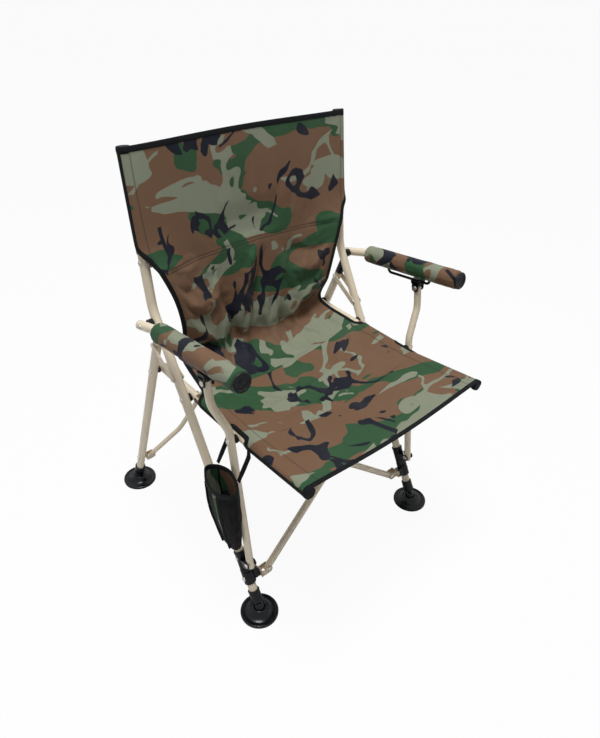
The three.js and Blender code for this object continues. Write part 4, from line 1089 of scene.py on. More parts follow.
def build_link(name, side, inner):
    """One link plate from the upright to the rear leg."""
    piece = Piece(f"{name}_plate", side)
    place = side_frame(UPRIGHT_X, LINK_BOLT, lean_of(LINK_BOLT, LINK_TOP))
    length = (LINK_TOP - LINK_BOLT).length
    near = UPRIGHT_RADIUS + GAP
    faces = (-near - PLATE_THICKNESS, -near) if inner else (near, near + PLATE_THICKNESS)
    piece.plate(bar_outline(0, 0, 0, length, LINK_HALF_WIDTH, both_round=True), *faces, place)
    piece.material = 1
    face = faces[0] if inner else faces[1]
    piece.head(face, 0, length, -1 if inner else 1, place)
    return piece


def build_rear_leg_plug(name, side):
    """Hollow-ended black plug whose rim fits the back of the upright."""
    piece = Piece(f"{name}_moulding", side)
    place = side_frame(UPRIGHT_X, REAR_FOOT, REAR_LEG_LEAN)
    top = REAR_LEG_PIVOT_ALONG + REAR_LEG_TOP
    start = top + REAR_LEG_END + GAP
    to_upright = LINK_TOP - FRONT_FOOT
    behind = to_upright.x * math.cos(UPRIGHT_LEAN) - to_upright.y * math.sin(UPRIGHT_LEAN)
    between = UPRIGHT_LEAN - REAR_LEG_LEAN
    meeting = top + behind / math.sin(between)
    limit = meeting - 0.004
    sides = 36
    clear = UPRIGHT_RADIUS + GAP * 2
    low_ring, high_ring = [], []
    for i in range(sides):
        turn = 2 * math.pi * i / sides
        x, y = on_circle(UPRIGHT_RADIUS, turn)
        low_ring.append((x, y, start))
        depth = math.sqrt(max(clear**2 - x**2, 0.0))
        reach = meeting + (y * math.cos(between) - depth) / math.sin(between)
        high_ring.append((x, y, min(reach, limit)))
    middle = sum(z for x, y, z in high_ring) / sides
    points = [*low_ring, *high_ring, (0, 0, start), (0, 0, middle - 0.004)]
    faces = []
    for i in range(sides):
        k = (i + 1) % sides
        faces.append((i, k, sides + k, sides + i))
        faces.append((k, i, 2 * sides))
        faces.append((sides + i, sides + k, 2 * sides + 1))
    piece.add(points, faces, place)
    return piece


def build_clevis(name, side, place, plate_x, pin_x, drop, radius, layer, rivet_to=None):
    """A folded bracket round a crossed tube's end: base plate, two round ears, and the pin."""
    piece = Piece(f"{name}_bracket", side)
    inner = radius + GAP
    low = -drop - CLEVIS_HALF
    reach = abs(layer) + inner + CLEVIS_PLATE
    near, far = (-CLEVIS_HALF, reach) if layer > 0 else (-reach, CLEVIS_HALF)
    high = CLEVIS_HALF - 0.7 * drop
    piece.plate(soft_rectangle(near, far, low, high, 0.002), plate_x - CLEVIS_PLATE, plate_x, place)
    across = Matrix.Rotation(math.pi / 2, 4, "Z")
    for start in (layer - inner - CLEVIS_PLATE, layer + inner):
        outline = bar_outline(-(plate_x - CLEVIS_PLATE / 2), -drop, -pin_x, -drop, CLEVIS_EAR)
        piece.plate(outline, start, start + CLEVIS_PLATE, place @ across)
    piece.material = 1
    ends = (layer - inner - CLEVIS_PLATE, layer + inner + CLEVIS_PLATE)
    piece.tube([Vector((pin_x, end, -drop)) for end in ends], CLEVIS_PIN, place, sides=16)
    for end, outward in zip(ends, (-1, 1)):
        piece.head_y(pin_x, end, -drop, outward, place, radius=0.0048)
    if rivet_to:
        pin(piece, plate_x - CLEVIS_PLATE, rivet_to, 0, 0, place)
        piece.head(rivet_to, 0, 0, 1, place)
        piece.head(plate_x - CLEVIS_PLATE, 0, 0, -1, place, height=RIVET_TAIL_HEIGHT)
    return piece


# Feet


def build_ferrule(name, side, place):
    """The leg's black end with its ball."""
    piece = Piece(f"{name}_moulding", side)
    neck = 0.0055
    flare = 0.015
    wall = 0.0011
    low = -math.pi / 2
    high = math.acos(neck / BALL_RADIUS)
    ball = [on_circle(BALL_RADIUS, low + (high - low) * i / 12) for i in range(1, 13)]
    profile = [
        (0.0, -BALL_RADIUS),
        *ball,
        (neck + 0.0003, flare - 2.4 * wall),
        (neck + 0.0022, flare - 0.9 * wall),
        (FERRULE_RADIUS - wall, flare),
        (FERRULE_RADIUS - 0.0002, flare + wall),
        (FERRULE_RADIUS, flare + 2 * wall),
        (FERRULE_RADIUS - wall / 2, FERRULE_LENGTH - 2 * wall),
        (FERRULE_RADIUS, FERRULE_LENGTH - 1.4 * wall),
        (FERRULE_RADIUS - wall / 3, FERRULE_LENGTH - wall / 2),
        (FERRULE_RADIUS - wall, FERRULE_LENGTH),
        (UPRIGHT_RADIUS + GAP, FERRULE_LENGTH),
        (UPRIGHT_RADIUS + GAP, FERRULE_SEAT),
        (0.0, FERRULE_SEAT),
    ]
    piece.turned(profile, place, sides=36)
    return piece


def offsets(radius, height, unit, steps):
    """Points of a profile, each so many units out from a radius and up from a height."""
    return [(radius + out * unit, height + up * unit) for out, up in steps]


def build_foot(name, side, place):
    """Wide mud foot: a rolled rim, a stepped dish and a socket that grips the ball."""
    piece = Piece(f"{name}_disc", side)
    low = -BALL_HEIGHT
    wall = 0.0011
    rim_top = low + 0.008
    lip = 0.0012
    hub = 0.015
    socket_radius = BALL_RADIUS + 2 * GAP
    start = math.asin(lip / socket_radius)
    socket = [on_circle(socket_radius, start - (start + math.pi / 2) * i / 10) for i in range(10)]
    profile = [
        (0.0, low),
        *offsets(FOOT_RADIUS, low, wall, [(-3, 0), (-1, 0.2), (-0.2, 1), (0, 2.2)]),
        *offsets(FOOT_RADIUS, rim_top, wall, [(0, -3), (-0.4, -1.2), (-1.6, -0.2), (-3, 0), (-4.4, -0.3)]),
        *offsets(FOOT_RADIUS, rim_top, wall, [(-5.6, -1.5), (-6.6, -1.9), (-9, -1.6)]),
        *offsets(FOOT_RADIUS, rim_top, wall, [(-9.6, -0.8), (-10.4, -0.6)]),
        *offsets(hub, rim_top, wall, [(11.0, 0.5), (8.8, 1.6), (6.0, 3.6)]),
        *offsets(hub, lip, wall, [(3.6, -5.4), (2.0, -2.8), (0.8, -0.9), (-0.6, 0)]),
        (socket_radius * math.cos(start) + 0.4 * wall, lip + 0.2 * wall),
        *socket,
        (0.0, -socket_radius),
    ]
    piece.turned(profile, place, sides=64)
    return piece


# Arms


def build_arm_cover(name, side):
    """Foam arm in printed cloth: gathered ends, soft dents and a slight swell."""
    piece = Piece(f"{name}_cover", side)
    place = side_frame(ARM_X, ARM_PIVOT, ARM_PITCH)
    length = ARM_FRONT_REACH - SLEEVE_REAR_REACH - GAP
    rows, sides = 70, 56
    rolled_length = 0.011
    bore = ARM_RADIUS + GAP
    points = []
    for row in range(rows + 1):
        share = row / rows
        y = -SLEEVE_REAR_REACH - length * share
        end = min(share, 1 - share) * length
        roll = 1 - min(end / rolled_length, 1.0)
        round_off = SLEEVE_RADIUS * (1 - math.sqrt(max(0.0, 1 - roll**2)) ** 0.8) * 0.28
        for i in range(sides):
            turn = 2 * math.pi * i / sides
            gather = 0.0005 * math.sin(13 * turn) * math.exp(-end / 0.012)
            dent = 0.0007 * noise.noise(Vector((*on_circle(3.1, turn), 9 * share + 5 * side)))
            crease = -0.0006 * math.exp(-(((end - 0.016) / 0.003) ** 2))
            radius = SLEEVE_RADIUS - round_off - 0.0006 + gather + dent + crease
            points.append((radius * math.cos(turn), y, ARM_RISE + radius * math.sin(turn)))
    faces = ring_faces(rows + 1, sides, capped=False)
    for row, offset in ((0, 0.0002), (rows, -0.0002)):
        base = len(points)
        for i in range(sides):
            turn = 2 * math.pi * i / sides
            y = points[row * sides][1] + offset
            points.append((bore * math.cos(turn), y, ARM_RISE + bore * math.sin(turn)))
        for i in range(sides):
            k = (i + 1) % sides
            faces.append((row * sides + i, row * sides + k, base + k, base + i))
    piece.add(points, faces, place)
    return piece


def build_arm_plug(name, side):
    """The dished plug in the arm cover's front end."""
    piece = Piece(f"{name}_moulding", side)
    place = side_frame(ARM_X, ARM_PIVOT, ARM_PITCH)
    place = place @ Matrix.Translation((0, -ARM_FRONT_REACH - GAP, ARM_RISE))
    place = place @ Matrix.Rotation(math.pi / 2, 4, "X")
    cap = SLEEVE_RADIUS - 0.002
    profile = [
        (0.0, -0.001),
        *offsets(cap, 0.0, MM, [(-1, 0), (-0.2, 0.6), (0, 1.6), (-0.4, 2.8), (-1.4, 3.7)]),
        *offsets(cap, 0.0, MM, [(-3, 4), (-4.2, 3.6), (-5.2, 2.2), (-6.4, 1.4)]),
        (0.006, 0.0012),
        (0.0052, 0.0016),
        (0.0, 0.0018),
    ]
    piece.turned(profile, place, sides=48)
    return piece


def build_arm_wire(name, side):
    """The bent wire that guides the runner under the arm."""
    piece = Piece(f"{name}_rod", side)
    place = side_frame(ARM_X, ARM_PIVOT, ARM_PITCH)
    top = ARM_RISE - ARM_RADIUS - GAP
    low = ARM_RISE - WIRE_DROP
    ends = ((WIRE_REAR_LEG, top), (WIRE_REAR_LEG, low), (WIRE_FRONT_LEG, low), (WIRE_FRONT_LEG, top))
    corners = [(0, -reach, z) for reach, z in ends]
    piece.tube(bent_path(corners, WIRE_BEND, math.radians(9)), WIRE_RADIUS, place, sides=20)
    return piece


def build_runner(name, side):
    """Block that slides on the arm's wire, with a fork round the post's top."""
    piece = Piece(f"{name}_moulding", side)
    place = side_frame(ARM_X, ARM_PIVOT, ARM_PITCH)
    wire_z = ARM_RISE - WIRE_DROP
    pin_z = ARM_RISE - RUNNER_PIN_DROP
    inner = POST_RADIUS + GAP
    outer = inner + EAR_THICKNESS
    shoulder = pin_z + math.hypot(POST_RADIUS, POST_TOP) + 2 * GAP
    centre = -RUNNER_REACH
    for edge in (-1, 1):
        faces = sorted((edge * inner, edge * outer))
        outline = bar_outline(centre, wire_z, centre, pin_z, 0.009)
        piece.plate(outline, faces[0], faces[1], place, bevel=0.0006)
    top = wire_z + RUNNER_TOP
    half = RUNNER_HALF
    bore = WIRE_RADIUS + GAP
    overlap = WIRE_RADIUS + 0.001
    for low_x, high_x in ((-outer, -bore), (bore, outer)):
        cheek = soft_rectangle(centre - half, centre + half, shoulder, top, 0.003)
        piece.plate(cheek, low_x, high_x, place, bevel=0.0008)
    for low_z, high_z in ((shoulder, wire_z - bore), (wire_z + bore, top)):
        bridge = soft_rectangle(centre - half, centre + half, low_z, high_z, 0.0008)
        piece.plate(bridge, -overlap, overlap, place)
    piece.material = 1
    pin(piece, -outer, outer, centre, pin_z, place)
    for edge in (-1, 1):
        piece.head(edge * outer, centre, pin_z, edge, place)
    return piece


# Cloth


def smooth(low, high, value):
    share = min(max((value - low) / (high - low), 0.0), 1.0)
    return share * share * (3 - 2 * share)


def curve_through(points, samples=400):
    """Even samples of a smooth curve through the points, and its length."""
    control = [points[0] * 2 - points[1], *points, points[-1] * 2 - points[-2]]
    fine = []
    for a, b, c, d in zip(control, control[1:], control[2:], control[3:]):
        for i in range(40):
            t = i / 40
            fine.append(
                0.5
                * (
                    b * 2
                    + (c - a) * t
                    + (a * 2 - b * 5 + c * 4 - d) * t * t
                    + (b * 3 - a - c * 3 + d) * t * t * t
                )
            )
    fine.append(points[-1])
    lengths = [0.0]
    for a, b in zip(fine, fine[1:]):
        lengths.append(lengths[-1] + (b - a).length)
    even, k = [], 0
    for i in range(samples + 1):
        wanted = lengths[-1] * i / samples
        while k < len(lengths) - 2 and lengths[k + 1] < wanted:
            k += 1
        span = lengths[k + 1] - lengths[k] or 1.0
        even.append(fine[k].lerp(fine[k + 1], (wanted - lengths[k]) / span))
    return even, lengths[-1]


def sample(curve, share):
    place = min(max(share, 0.0), 1.0) * (len(curve) - 1)
    low = min(int(place), len(curve) - 2)
    return curve[low].lerp(curve[low + 1], place - low)


def ridge(u, v, start, end, width, sharp=1.4):
    """Height from 0 to 1 of a fold that runs from start to end and fades at both ends."""
    along_u, along_v = end[0] - start[0], end[1] - start[1]
    squared = along_u**2 + along_v**2
    t = ((u - start[0]) * along_u + (v - start[1]) * along_v) / squared
    if not -0.05 < t < 1.05:
        return 0.0
    off = abs((u - start[0]) * along_v - (v - start[1]) * along_u) / math.sqrt(squared)
    fade = smooth(-0.05, 0.2, t) * (1 - smooth(0.5, 1.05, t))
    return math.exp(-((off / width) ** sharp)) * fade


CLOTH_SLEEVE_RADIUS = (UPRIGHT_RADIUS + GAP) / math.cos(math.pi / 12) + CLOTH
RAIL_SLEEVE_RADIUS = (RAIL_RADIUS + GAP) / math.cos(math.pi / 12) + CLOTH
BACK_TOP_ALONG = UPPER_LENGTH + 0.0019
SHEET = 0.001
WRAP_RADIUS = CLOTH_SLEEVE_RADIUS - SHEET
RAIL_WRAP_RADIUS = RAIL_SLEEVE_RADIUS - SHEET
SEAM_SHARE = 0.42
COLUMNS = 100
BACK_ROWS = 124
SEAT_ROWS = 84
HELD_EDGE = 0.016
HELD_ROWS = 4


class Sling:
    """A cloth laid in rows across the chair.

    row_of(share) gives half a row, from the middle out to its bound edge, and the place in it where the
    part between the tubes ends. Flat places are (across, along) in metres, from the middle and the first row.
    folds(u, v, edge) gives the height of the cloth above the plain rows, towards the sitter."""

    def __init__(self, row_of, length, folds):
        self.row_of = row_of
        self.length = length
        self.folds = folds
        self.rows = {}

    def row(self, along):
        share = round(min(max(along / self.length, 0.0), 1.0), 5)
        if share not in self.rows:
            points, split = self.row_of(share)
            travelled = [0.0]
            for a, b in zip(points, points[1:]):
                travelled.append(travelled[-1] + (b - a).length)
            self.rows[share] = (points, travelled, travelled[split])
        return self.rows[share]

    def reach(self, along):
        return self.row(along)[1][-1]

    def split(self, along):
        return self.row(along)[2]

    def plain(self, across, along):
        points, travelled, _ = self.row(along)
        wanted = abs(across)
        k = min(max(bisect.bisect_right(travelled, wanted) - 1, 0), len(points) - 2)
        while k > 0 and travelled[k + 1] - travelled[k] < 1e-7:
            k -= 1
        share = (wanted - travelled[k]) / (travelled[k + 1] - travelled[k])
        point = points[k] + (points[k + 1] - points[k]) * share
        return Vector((math.copysign(point.x, across), point.y, point.z))

    def facing(self, across, along):
        step = 0.0012
        side = self.plain(across + step, along) - self.plain(across - step, along)
        low, high = max(along - step, 0.0), min(along + step, self.length)
        return (self.plain(across, high) - self.plain(across, low)).cross(side).normalized()

    def point(self, across, along, lift=0.0):
        reach = self.reach(along)
        height = self.folds(across / reach, along / self.length, reach - abs(across))
        return self.plain(across, along) + self.facing(across, along) * (height + lift)


def upper_point(distance):
    point = along(BEND_POINT, UPPER_LEAN, distance)
    return Vector((UPRIGHT_X, point.x, point.y))


UPPER_AHEAD = Vector((0, -math.cos(UPPER_LEAN), math.sin(UPPER_LEAN)))
WRAP_START_Z = 0.712
WRAP_FULL_Z = 0.750
WRAP_TURN = math.radians(100)
RAIL_WRAP_TURN = math.radians(108)


def on_rail(point):
    return rail_frame() @ Vector(point)


def crease_depth(u):
    return SEAT_SAG * max(0.0, 1 - u * u) ** 1.5


CREASE_CORNER = on_rail((-RAIL_RADIUS - 2 * CLOTH, CLOTH + GAP - SEAT_START, RAIL_SLEEVE_RADIUS - CLOTH / 2))
RAIL_CORNERS = [on_rail(p) for p in rail_corners(-SEAT_START, RAIL_FRONT_REACH + GAP + CLOTH)]
SEAT_CENTRE, SEAT_LENGTH = curve_through(bent_path(RAIL_CORNERS, RAIL_BEND_RADIUS))


def before_upper(distance, clear=0.0):
    """A point on the cloth before the upright's upper tube, and how much further it stands off."""
    return upper_point(distance) + UPPER_AHEAD * (WRAP_RADIUS + clear)


def upper_at(z):
    """How far up the upper tube a height is."""
    return (z - BEND_POINT.y) / math.cos(UPPER_LEAN)


BACK_EDGE, BACK_LENGTH = curve_through(
    [
        before_upper(BACK_TOP_ALONG),
        before_upper(BACK_TOP_ALONG - 0.09),
        before_upper(upper_at(WRAP_FULL_Z), 0.001),
        before_upper(upper_at(WRAP_START_Z + 0.012), 0.005),
        Vector((0.2480, 0.0935, 0.7080)),
        Vector((0.2385, 0.0855, 0.6900)),
        WAIST,
        Vector((0.2040, 0.0835, 0.555)),
        CREASE,
        CREASE_CORNER,
    ]
)


def row_points(edge, height_at, steps=48):
    """Half a row from the middle to the edge, with (rearward, downward) offsets by share."""
    points = []
    for i in range(steps + 1):
        u = i / steps
        rear, down = height_at(u)
        points.append(Vector((edge.x * u, edge.y + rear, edge.z - down)))
    return points


def add_wrap(points, centre, ahead, radius, turn, steps=12):
    for i in range(1, steps + 1):
        angle = turn * i / steps
        points.append(centre + Vector((radius * math.sin(angle), 0, 0)) + ahead * (radius * math.cos(angle)))


def back_row(share):
    edge = sample(BACK_EDGE, share)
    waist = smooth(0.1, 0.4, share) * (1 - smooth(0.6, 0.85, share))
    low = smooth(0.6, 0.95, share)
    sag = BACK_SAG * (0.3 + 0.7 * waist) * (1 - low)
    points = row_points(edge, lambda u: (sag * (1 - u * u) ** 2, low * crease_depth(u)))
    split = len(points) - 1
    turn = WRAP_TURN * smooth(WRAP_START_Z, WRAP_FULL_Z, edge.z)
    if turn > 1e-4:
        add_wrap(points, edge - UPPER_AHEAD * WRAP_RADIUS, UPPER_AHEAD, WRAP_RADIUS, turn)
    return points, split


def seat_row(share):
    centre = sample(SEAT_CENTRE, share)
    ahead = (sample(SEAT_CENTRE, share + 0.01) - sample(SEAT_CENTRE, share - 0.01)).normalized()
    up = ahead.cross(Vector((1, 0, 0))).normalized()
    edge = centre + up * RAIL_WRAP_RADIUS
    travelled = share * SEAT_LENGTH
    start = sample(SEAT_CENTRE, 0.0) + up * RAIL_WRAP_RADIUS
    edge += (CREASE_CORNER - start) * (1 - smooth(0.0, 0.022, travelled))
    depth_share = 1 + (SEAT_FRONT_SAG / SEAT_SAG - 1) * smooth(0.3, 1.0, share)
    points = row_points(edge, lambda u: (0.0, crease_depth(u) * depth_share))
    split = len(points) - 1
    notch = smooth(0.019, 0.034, abs(edge.y - POST_PIVOT.x))
    turn = (math.radians(24) + (RAIL_WRAP_TURN - math.radians(24)) * notch) * smooth(0.004, 0.03, travelled)
    if turn > 1e-4:
        add_wrap(points, edge - up * RAIL_WRAP_RADIUS, up, RAIL_WRAP_RADIUS, turn)
    return points, split


# Single creases: height, start and end as shares across and down the cloth, and width
BACK_CREASES = (
    (0.0125, (0.04, 0.44), (-0.30, 0.80), 0.05),
    (-0.0120, (0.16, 0.46), (-0.12, 0.86), 0.04),
    (0.0095, (0.42, 0.50), (0.18, 0.92), 0.045),
    (-0.0095, (-0.46, 0.56), (-0.10, 0.94), 0.045),
)
SEAT_CREASES = (
    (0.0075, (-0.62, 0.30), (0.40, 0.20), 0.035),
    (-0.0060, (-0.50, 0.38), (0.55, 0.30), 0.035),
    (0.0035, (0.70, 0.50), (-0.20, 0.44), 0.045),
)
SECOND_SEAM = 0.013
SEAM_WIDTH = 0.007
TAUT_EDGE = 0.010
SLACK_EDGE = 0.045


def back_folds(u, v, edge):
    """Folds of the back below its cross seam: rays from both waists, and slack at the crease."""
    height = 0.0
    for side in (-1, 1):
        for i in range(5):
            start = (side * 0.99, 0.54 + 0.05 * i)
            end = (side * (0.22 - 0.07 * (i % 3)), 0.50 + 0.105 * i)
            rise = (0.0100 - 0.0007 * i) * (1 if i % 2 else -0.9)
            height += rise * ridge(u, v, start, end, 0.034 + 0.004 * i)
        for i in range(4):
            start = (side * (0.90 - 0.20 * i), 0.985)
            end = (side * (0.56 - 0.17 * i), 0.72 - 0.03 * i)
            height += 0.0082 * (1 if i % 2 else -1) * ridge(u, v, start, end, 0.036)
    for rise, start, end, width in BACK_CREASES:
        height += rise * ridge(u, v, start, end, width)
    low = smooth(SEAM_SHARE - 0.02, SEAM_SHARE + 0.10, v)
    wander = noise.fractal(Vector((2.2 * u, 4.0 * v, 0.7)), 0.9, 2.1, 4)
    fine = noise.fractal(Vector((6.0 * u + 3.0, 9.0 * v, 2.3)), 0.8, 2.0, 3)
    height += (0.0040 * low + 0.0010) * wander + (0.0020 * low + 0.0003) * fine
    seams = (SEAM_SHARE, SEAM_SHARE + SECOND_SEAM)
    grooves = sum(math.exp(-(((v - place) / SEAM_WIDTH) ** 2)) for place in seams)
    height -= 0.0008 * grooves
    ends = smooth(0.01, 0.06, v) * (1 - smooth(0.975, 1.0, v))
    return height * smooth(TAUT_EDGE, SLACK_EDGE, edge) * ends


def seat_folds(u, v, edge):
    """Slack of the seat behind, drawn tighter towards the front edge."""
    height = 0.0
    for side in (-1, 1):
        for i in range(5):
            start = (side * (0.96 - 0.10 * i), 0.02)
            end = (side * (0.42 - 0.12 * i), 0.22 + 0.06 * i)
            height += 0.0085 * (1 if i % 2 else -1) * ridge(u, v, start, end, 0.045)
    for rise, start, end, width in SEAT_CREASES:
        height += rise * ridge(u, v, start, end, width)
    rear = 1 - smooth(0.2, 0.75, v)
    wander = noise.fractal(Vector((2.0 * u, 3.0 * v, 5.7)), 0.9, 2.1, 4)
    height += (0.0034 * rear + 0.0010) * wander
    ends = smooth(0.0, 0.03, v) * (1 - smooth(0.88, 0.97, v))
    return height * smooth(TAUT_EDGE, SLACK_EDGE, edge) * ends


FABRIC = {
    "quality": 5,
    "mass": 0.12,
    "tension_stiffness": 30,
    "compression_stiffness": 30,
    "shear_stiffness": 12,
    "bending_stiffness": 0.06,
    "tension_damping": 8,
    "compression_damping": 8,
    "shear_damping": 8,
    "air_damping": 3,
    "shrink_min": 0.0,
    "shrink_max": -0.05,
}


def settle(rows, pinned, slack, cap=0.016, frames=26):
    """Lets a grid of cloth with some slack fall into folds between its pinned points, with Blender's cloth.
    No point moves beyond the cap."""
    wide = len(rows[0])
    corners = [r * wide + c for r in range(len(rows) - 1) for c in range(wide - 1)]
    faces = [(a, a + 1, a + 1 + wide, a + wide) for a in corners]
    mesh = new_mesh("slack_cloth", [point for row in rows for point in row], faces)
    cloth = show("slack_cloth", mesh)
    scene = bpy.context.scene
    held, loose = cloth.vertex_groups.new(name="held"), cloth.vertex_groups.new(name="loose")
    for r in range(len(rows)):
        for c in range(wide):
            held.add([r * wide + c], pinned(r, c), "REPLACE")
            loose.add([r * wide + c], slack(r, c), "REPLACE")
    modifier = cloth.modifiers.new("cloth", "CLOTH")
    fabric = modifier.settings
    for name, value in FABRIC.items():
        setattr(fabric, name, value)
    fabric.vertex_group_mass = "held"
    fabric.vertex_group_shrink = "loose"
    fabric.effector_weights.gravity = 0.25
    modifier.collision_settings.use_collision = False
    modifier.collision_settings.use_self_collision = False
    modifier.point_cache.frame_start = 1
    modifier.point_cache.frame_end = frames
    for number in range(1, frames + 1):
        scene.frame_set(number)
    settled = cloth.evaluated_get(bpy.context.evaluated_depsgraph_get()).data
    moved = []
    for r, row in enumerate(rows):
        line = []
        for c, before in enumerate(row):
            step = settled.vertices[r * wide + c].co - before
            if step.length > cap / 2:
                step = step.normalized() * (cap - (cap / 2) ** 2 / step.length)
            line.append(before + step)
        moved.append(line)
    bpy.data.objects.remove(cloth)
    bpy.data.meshes.remove(mesh)
    scene.frame_set(1)
    return moved


def grid_sheet(name, grid, flat):
    """A closed sheet of two faces over a grid of points, with the flat places as its coordinates."""
    rows, columns = len(grid) - 1, len(grid[0]) - 1
    facing = []
    for r in range(rows + 1):
        for c in range(columns + 1):
            across = grid[r][min(c + 1, columns)] - grid[r][max(c - 1, 0)]
            down = grid[min(r + 1, rows)][c] - grid[max(r - 1, 0)][c]
            facing.append(down.cross(across).normalized())
    middle = [point for row in grid for point in row]
    count = len(middle)
    points = [p + n * (SHEET / 2) for p, n in zip(middle, facing)]
    points += [p - n * (SHEET / 2) for p, n in zip(middle, facing)]
    wide = columns + 1
    faces = []
    for r in range(rows):
        for c in range(columns):
            a = r * wide + c
            faces.append((a, a + 1, a + 1 + wide, a + wide))
            faces.append((count + a, count + a + wide, count + a + 1 + wide, count + a + 1))
    for c in range(columns):
        end = rows * wide + c
        faces.append((c, count + c, count + c + 1, c + 1))
        faces.append((end, end + 1, count + end + 1, count + end))
    for r in range(rows):
        left, right = r * wide, r * wide + columns
        faces.append((left, left + wide, count + left + wide, count + left))
        faces.append((right, count + right, count + right + wide, right + wide))
    mesh = new_mesh(name, points, faces)
    layer = mesh.uv_layers.new(name="flat")
    for loop in mesh.loops:
        r, c = divmod(loop.vertex_index % count, wide)
        layer.data[loop.index].uv = flat[r][c]
    mesh.polygons.foreach_set("use_smooth", [True] * len(mesh.polygons))
    mesh.set_sharp_from_angle(angle=math.radians(70))
    sheet = show(name, mesh)
    outward(sheet)
    return sheet


def outward(piece):
    bm = bmesh.new()
    bm.from_mesh(piece.data)
    bmesh.ops.recalc_face_normals(bm, faces=bm.faces)
    bm.to_mesh(piece.data)
    bm.free()


def between_rows(sling, rows):
    """Grid of the cloth between the tubes, and its flat places."""
    grid, flat = [], []
    for r in range(rows + 1):
        down = sling.length * r / rows
        half = sling.split(down)
        places = [half * (2 * c / COLUMNS - 1) for c in range(COLUMNS + 1)]
        grid.append([sling.point(across, down) for across in places])
        flat.append([(across, -down) for across in places])
    return grid, flat


def wrap_rows(sling, rows, side, steps=12):
    """Grid of the cloth round one tube, from where the part between the tubes ends to the bound edge."""
    grid, flat = [], []
    for r in range(rows + 1):
        down = sling.length * r / rows
        inner, outer = sling.split(down), sling.reach(down)
        if outer - inner < 0.0004:
            continue
        places = [side * (inner + (outer - inner) * c / steps) for c in range(steps + 1)]
        grid.append([sling.point(across, down) for across in places])
        flat.append([(across, -down) for across in places])
    return grid, flat


def cloth_area(sling, rows=60):
    return sum(2 * sling.split(sling.length * (r + 0.5) / rows) for r in range(rows)) * sling.length / rows


def side_path(sling, low, high, side, width, corner=None, steps=90):
    """Flat places down a bound edge, each with its inward direction and how wide the tape may be there."""
    path = []
    for i in range(steps + 1):
        down = low + (high - low) * i / steps
        step = 0.0015
        before, after = max(down - step, 0.0), min(down + step, sling.length)
        slope = (sling.reach(after) - sling.reach(before)) / (after - before)
        size = math.hypot(slope, 1.0)
        room = width if corner is None else min(width, max(abs(corner - down), 0.0002))
        path.append((side * sling.reach(down), down, -side / size, slope / size, room))
    return path


def end_path(sling, down, start, stop, inward, width, corners=True, steps=80):
    """Flat places along the first or last row."""
    path = []
    for i in range(steps + 1):
        across = start + (stop - start) * i / steps
        room = min(width, max(sling.reach(down) - abs(across), 0.0002)) if corners else width
        path.append((across, down, 0.0, inward, room))
    return path


def edge_tape(name, sling, path, width, body, squash=None):
    """Binding folded over the cloth's edge: it follows the cloth on both faces and rounds its edge."""
    face, nose = SHEET / 2 + 0.0008, 0.0011
    points = []
    for across, down, in_across, in_down, room in path:
        ring = []
        offsets = [width, 0.97 * width, 0.7 * width, 0.4 * width, 0.12 * width]
        lifts = [SHEET / 2 + 0.0001, face, face, face, face]
        places = []
        for offset in offsets:
            used = min(offset, room)
            places.append((across + in_across * used, down + in_down * used))
        edge = sling.point(across, down)
        inner = sling.point(across + in_across * 0.002, down + in_down * 0.002)
        out = (edge - inner).normalized()
        normal = sling.facing(across, down)
        for (a, d), lift in zip(places, lifts):
            ring.append(sling.point(a, d, lift))
        ring.append(edge + out * (nose * 0.62) + normal * (face * 0.72))
        ring.append(edge + out * nose)
        ring.append(edge + out * (nose * 0.62) - normal * (face * 0.72))
        for (a, d), lift in zip(reversed(places), reversed(lifts)):
            ring.append(sling.point(a, d, -lift))
        points += ring
    faces = ring_faces(len(path), len(points) // len(path))
    return tape_object(name, points, faces, body, squash)


def tape_object(name, points, faces, body, squash=None):
    mesh = new_mesh(name, points, faces)
    mesh.polygons.foreach_set("use_smooth", [True] * len(mesh.polygons))
    mesh.set_sharp_from_angle(angle=math.radians(70))
    mesh.materials.append(binding_tape())
    tape = show(name, mesh)
    outward(tape)
    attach(tape, body)
    if squash:
        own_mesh(tape)
    return tape


def cloth_tube(name, path, radius, side, keep_face, uv_shift=0.0):
    """The part of a cloth sleeve round a tube that keep_face keeps, with flat coordinates and puckers."""
    sides = 40
    tangents = tangents_of(path)
    points, uvs = [], []
    travelled = 0.0
    for i, (point, tangent) in enumerate(zip(path, tangents)):
        if i:
            travelled += (point - path[i - 1]).length
        across = Vector((1, 0, 0)) - tangent * tangent.x
        across.normalize()
        up = tangent.cross(across)
        for k in range(sides + 1):
            turn = 2 * math.pi * k / sides
            pucker = 0.0003 * noise.noise(Vector((*on_circle(2, turn), 30 * travelled)))
            reach = radius + pucker
            points.append(point + across * (reach * math.cos(turn)) + up * (reach * math.sin(turn)))
            uvs.append((radius * turn + uv_shift, travelled))
    faces = []
    wide = sides + 1
    for r in range(len(path) - 1):
        for k in range(sides):
            a = r * wide + k
            if keep_face(points[a], 2 * math.pi * (k + 0.5) / sides, r / (len(path) - 1)):
                faces.append((a, a + 1, a + 1 + wide, a + wide))
    used = sorted({i for face in faces for i in face})
    place_of = {old: new for new, old in enumerate(used)}
    mirrored = [(points[i].x * side, points[i].y, points[i].z) for i in used]
    mesh = new_mesh(name, mirrored, [tuple(place_of[i] for i in face) for face in faces])
    layer = mesh.uv_layers.new(name="flat")
    for loop in mesh.loops:
        layer.data[loop.index].uv = uvs[used[loop.vertex_index]]
    mesh.polygons.foreach_set("use_smooth", [True] * len(mesh.polygons))
    tube = show(name, mesh)
    outward(tube)
    thicken(tube, 0.0007)
    return tube


def thicken(piece, thickness):
    """Gives a single face of cloth its thickness, inwards."""
    thick = piece.modifiers.new("cloth_thickness", "SOLIDIFY")
    thick.thickness = thickness
    thick.offset = -1


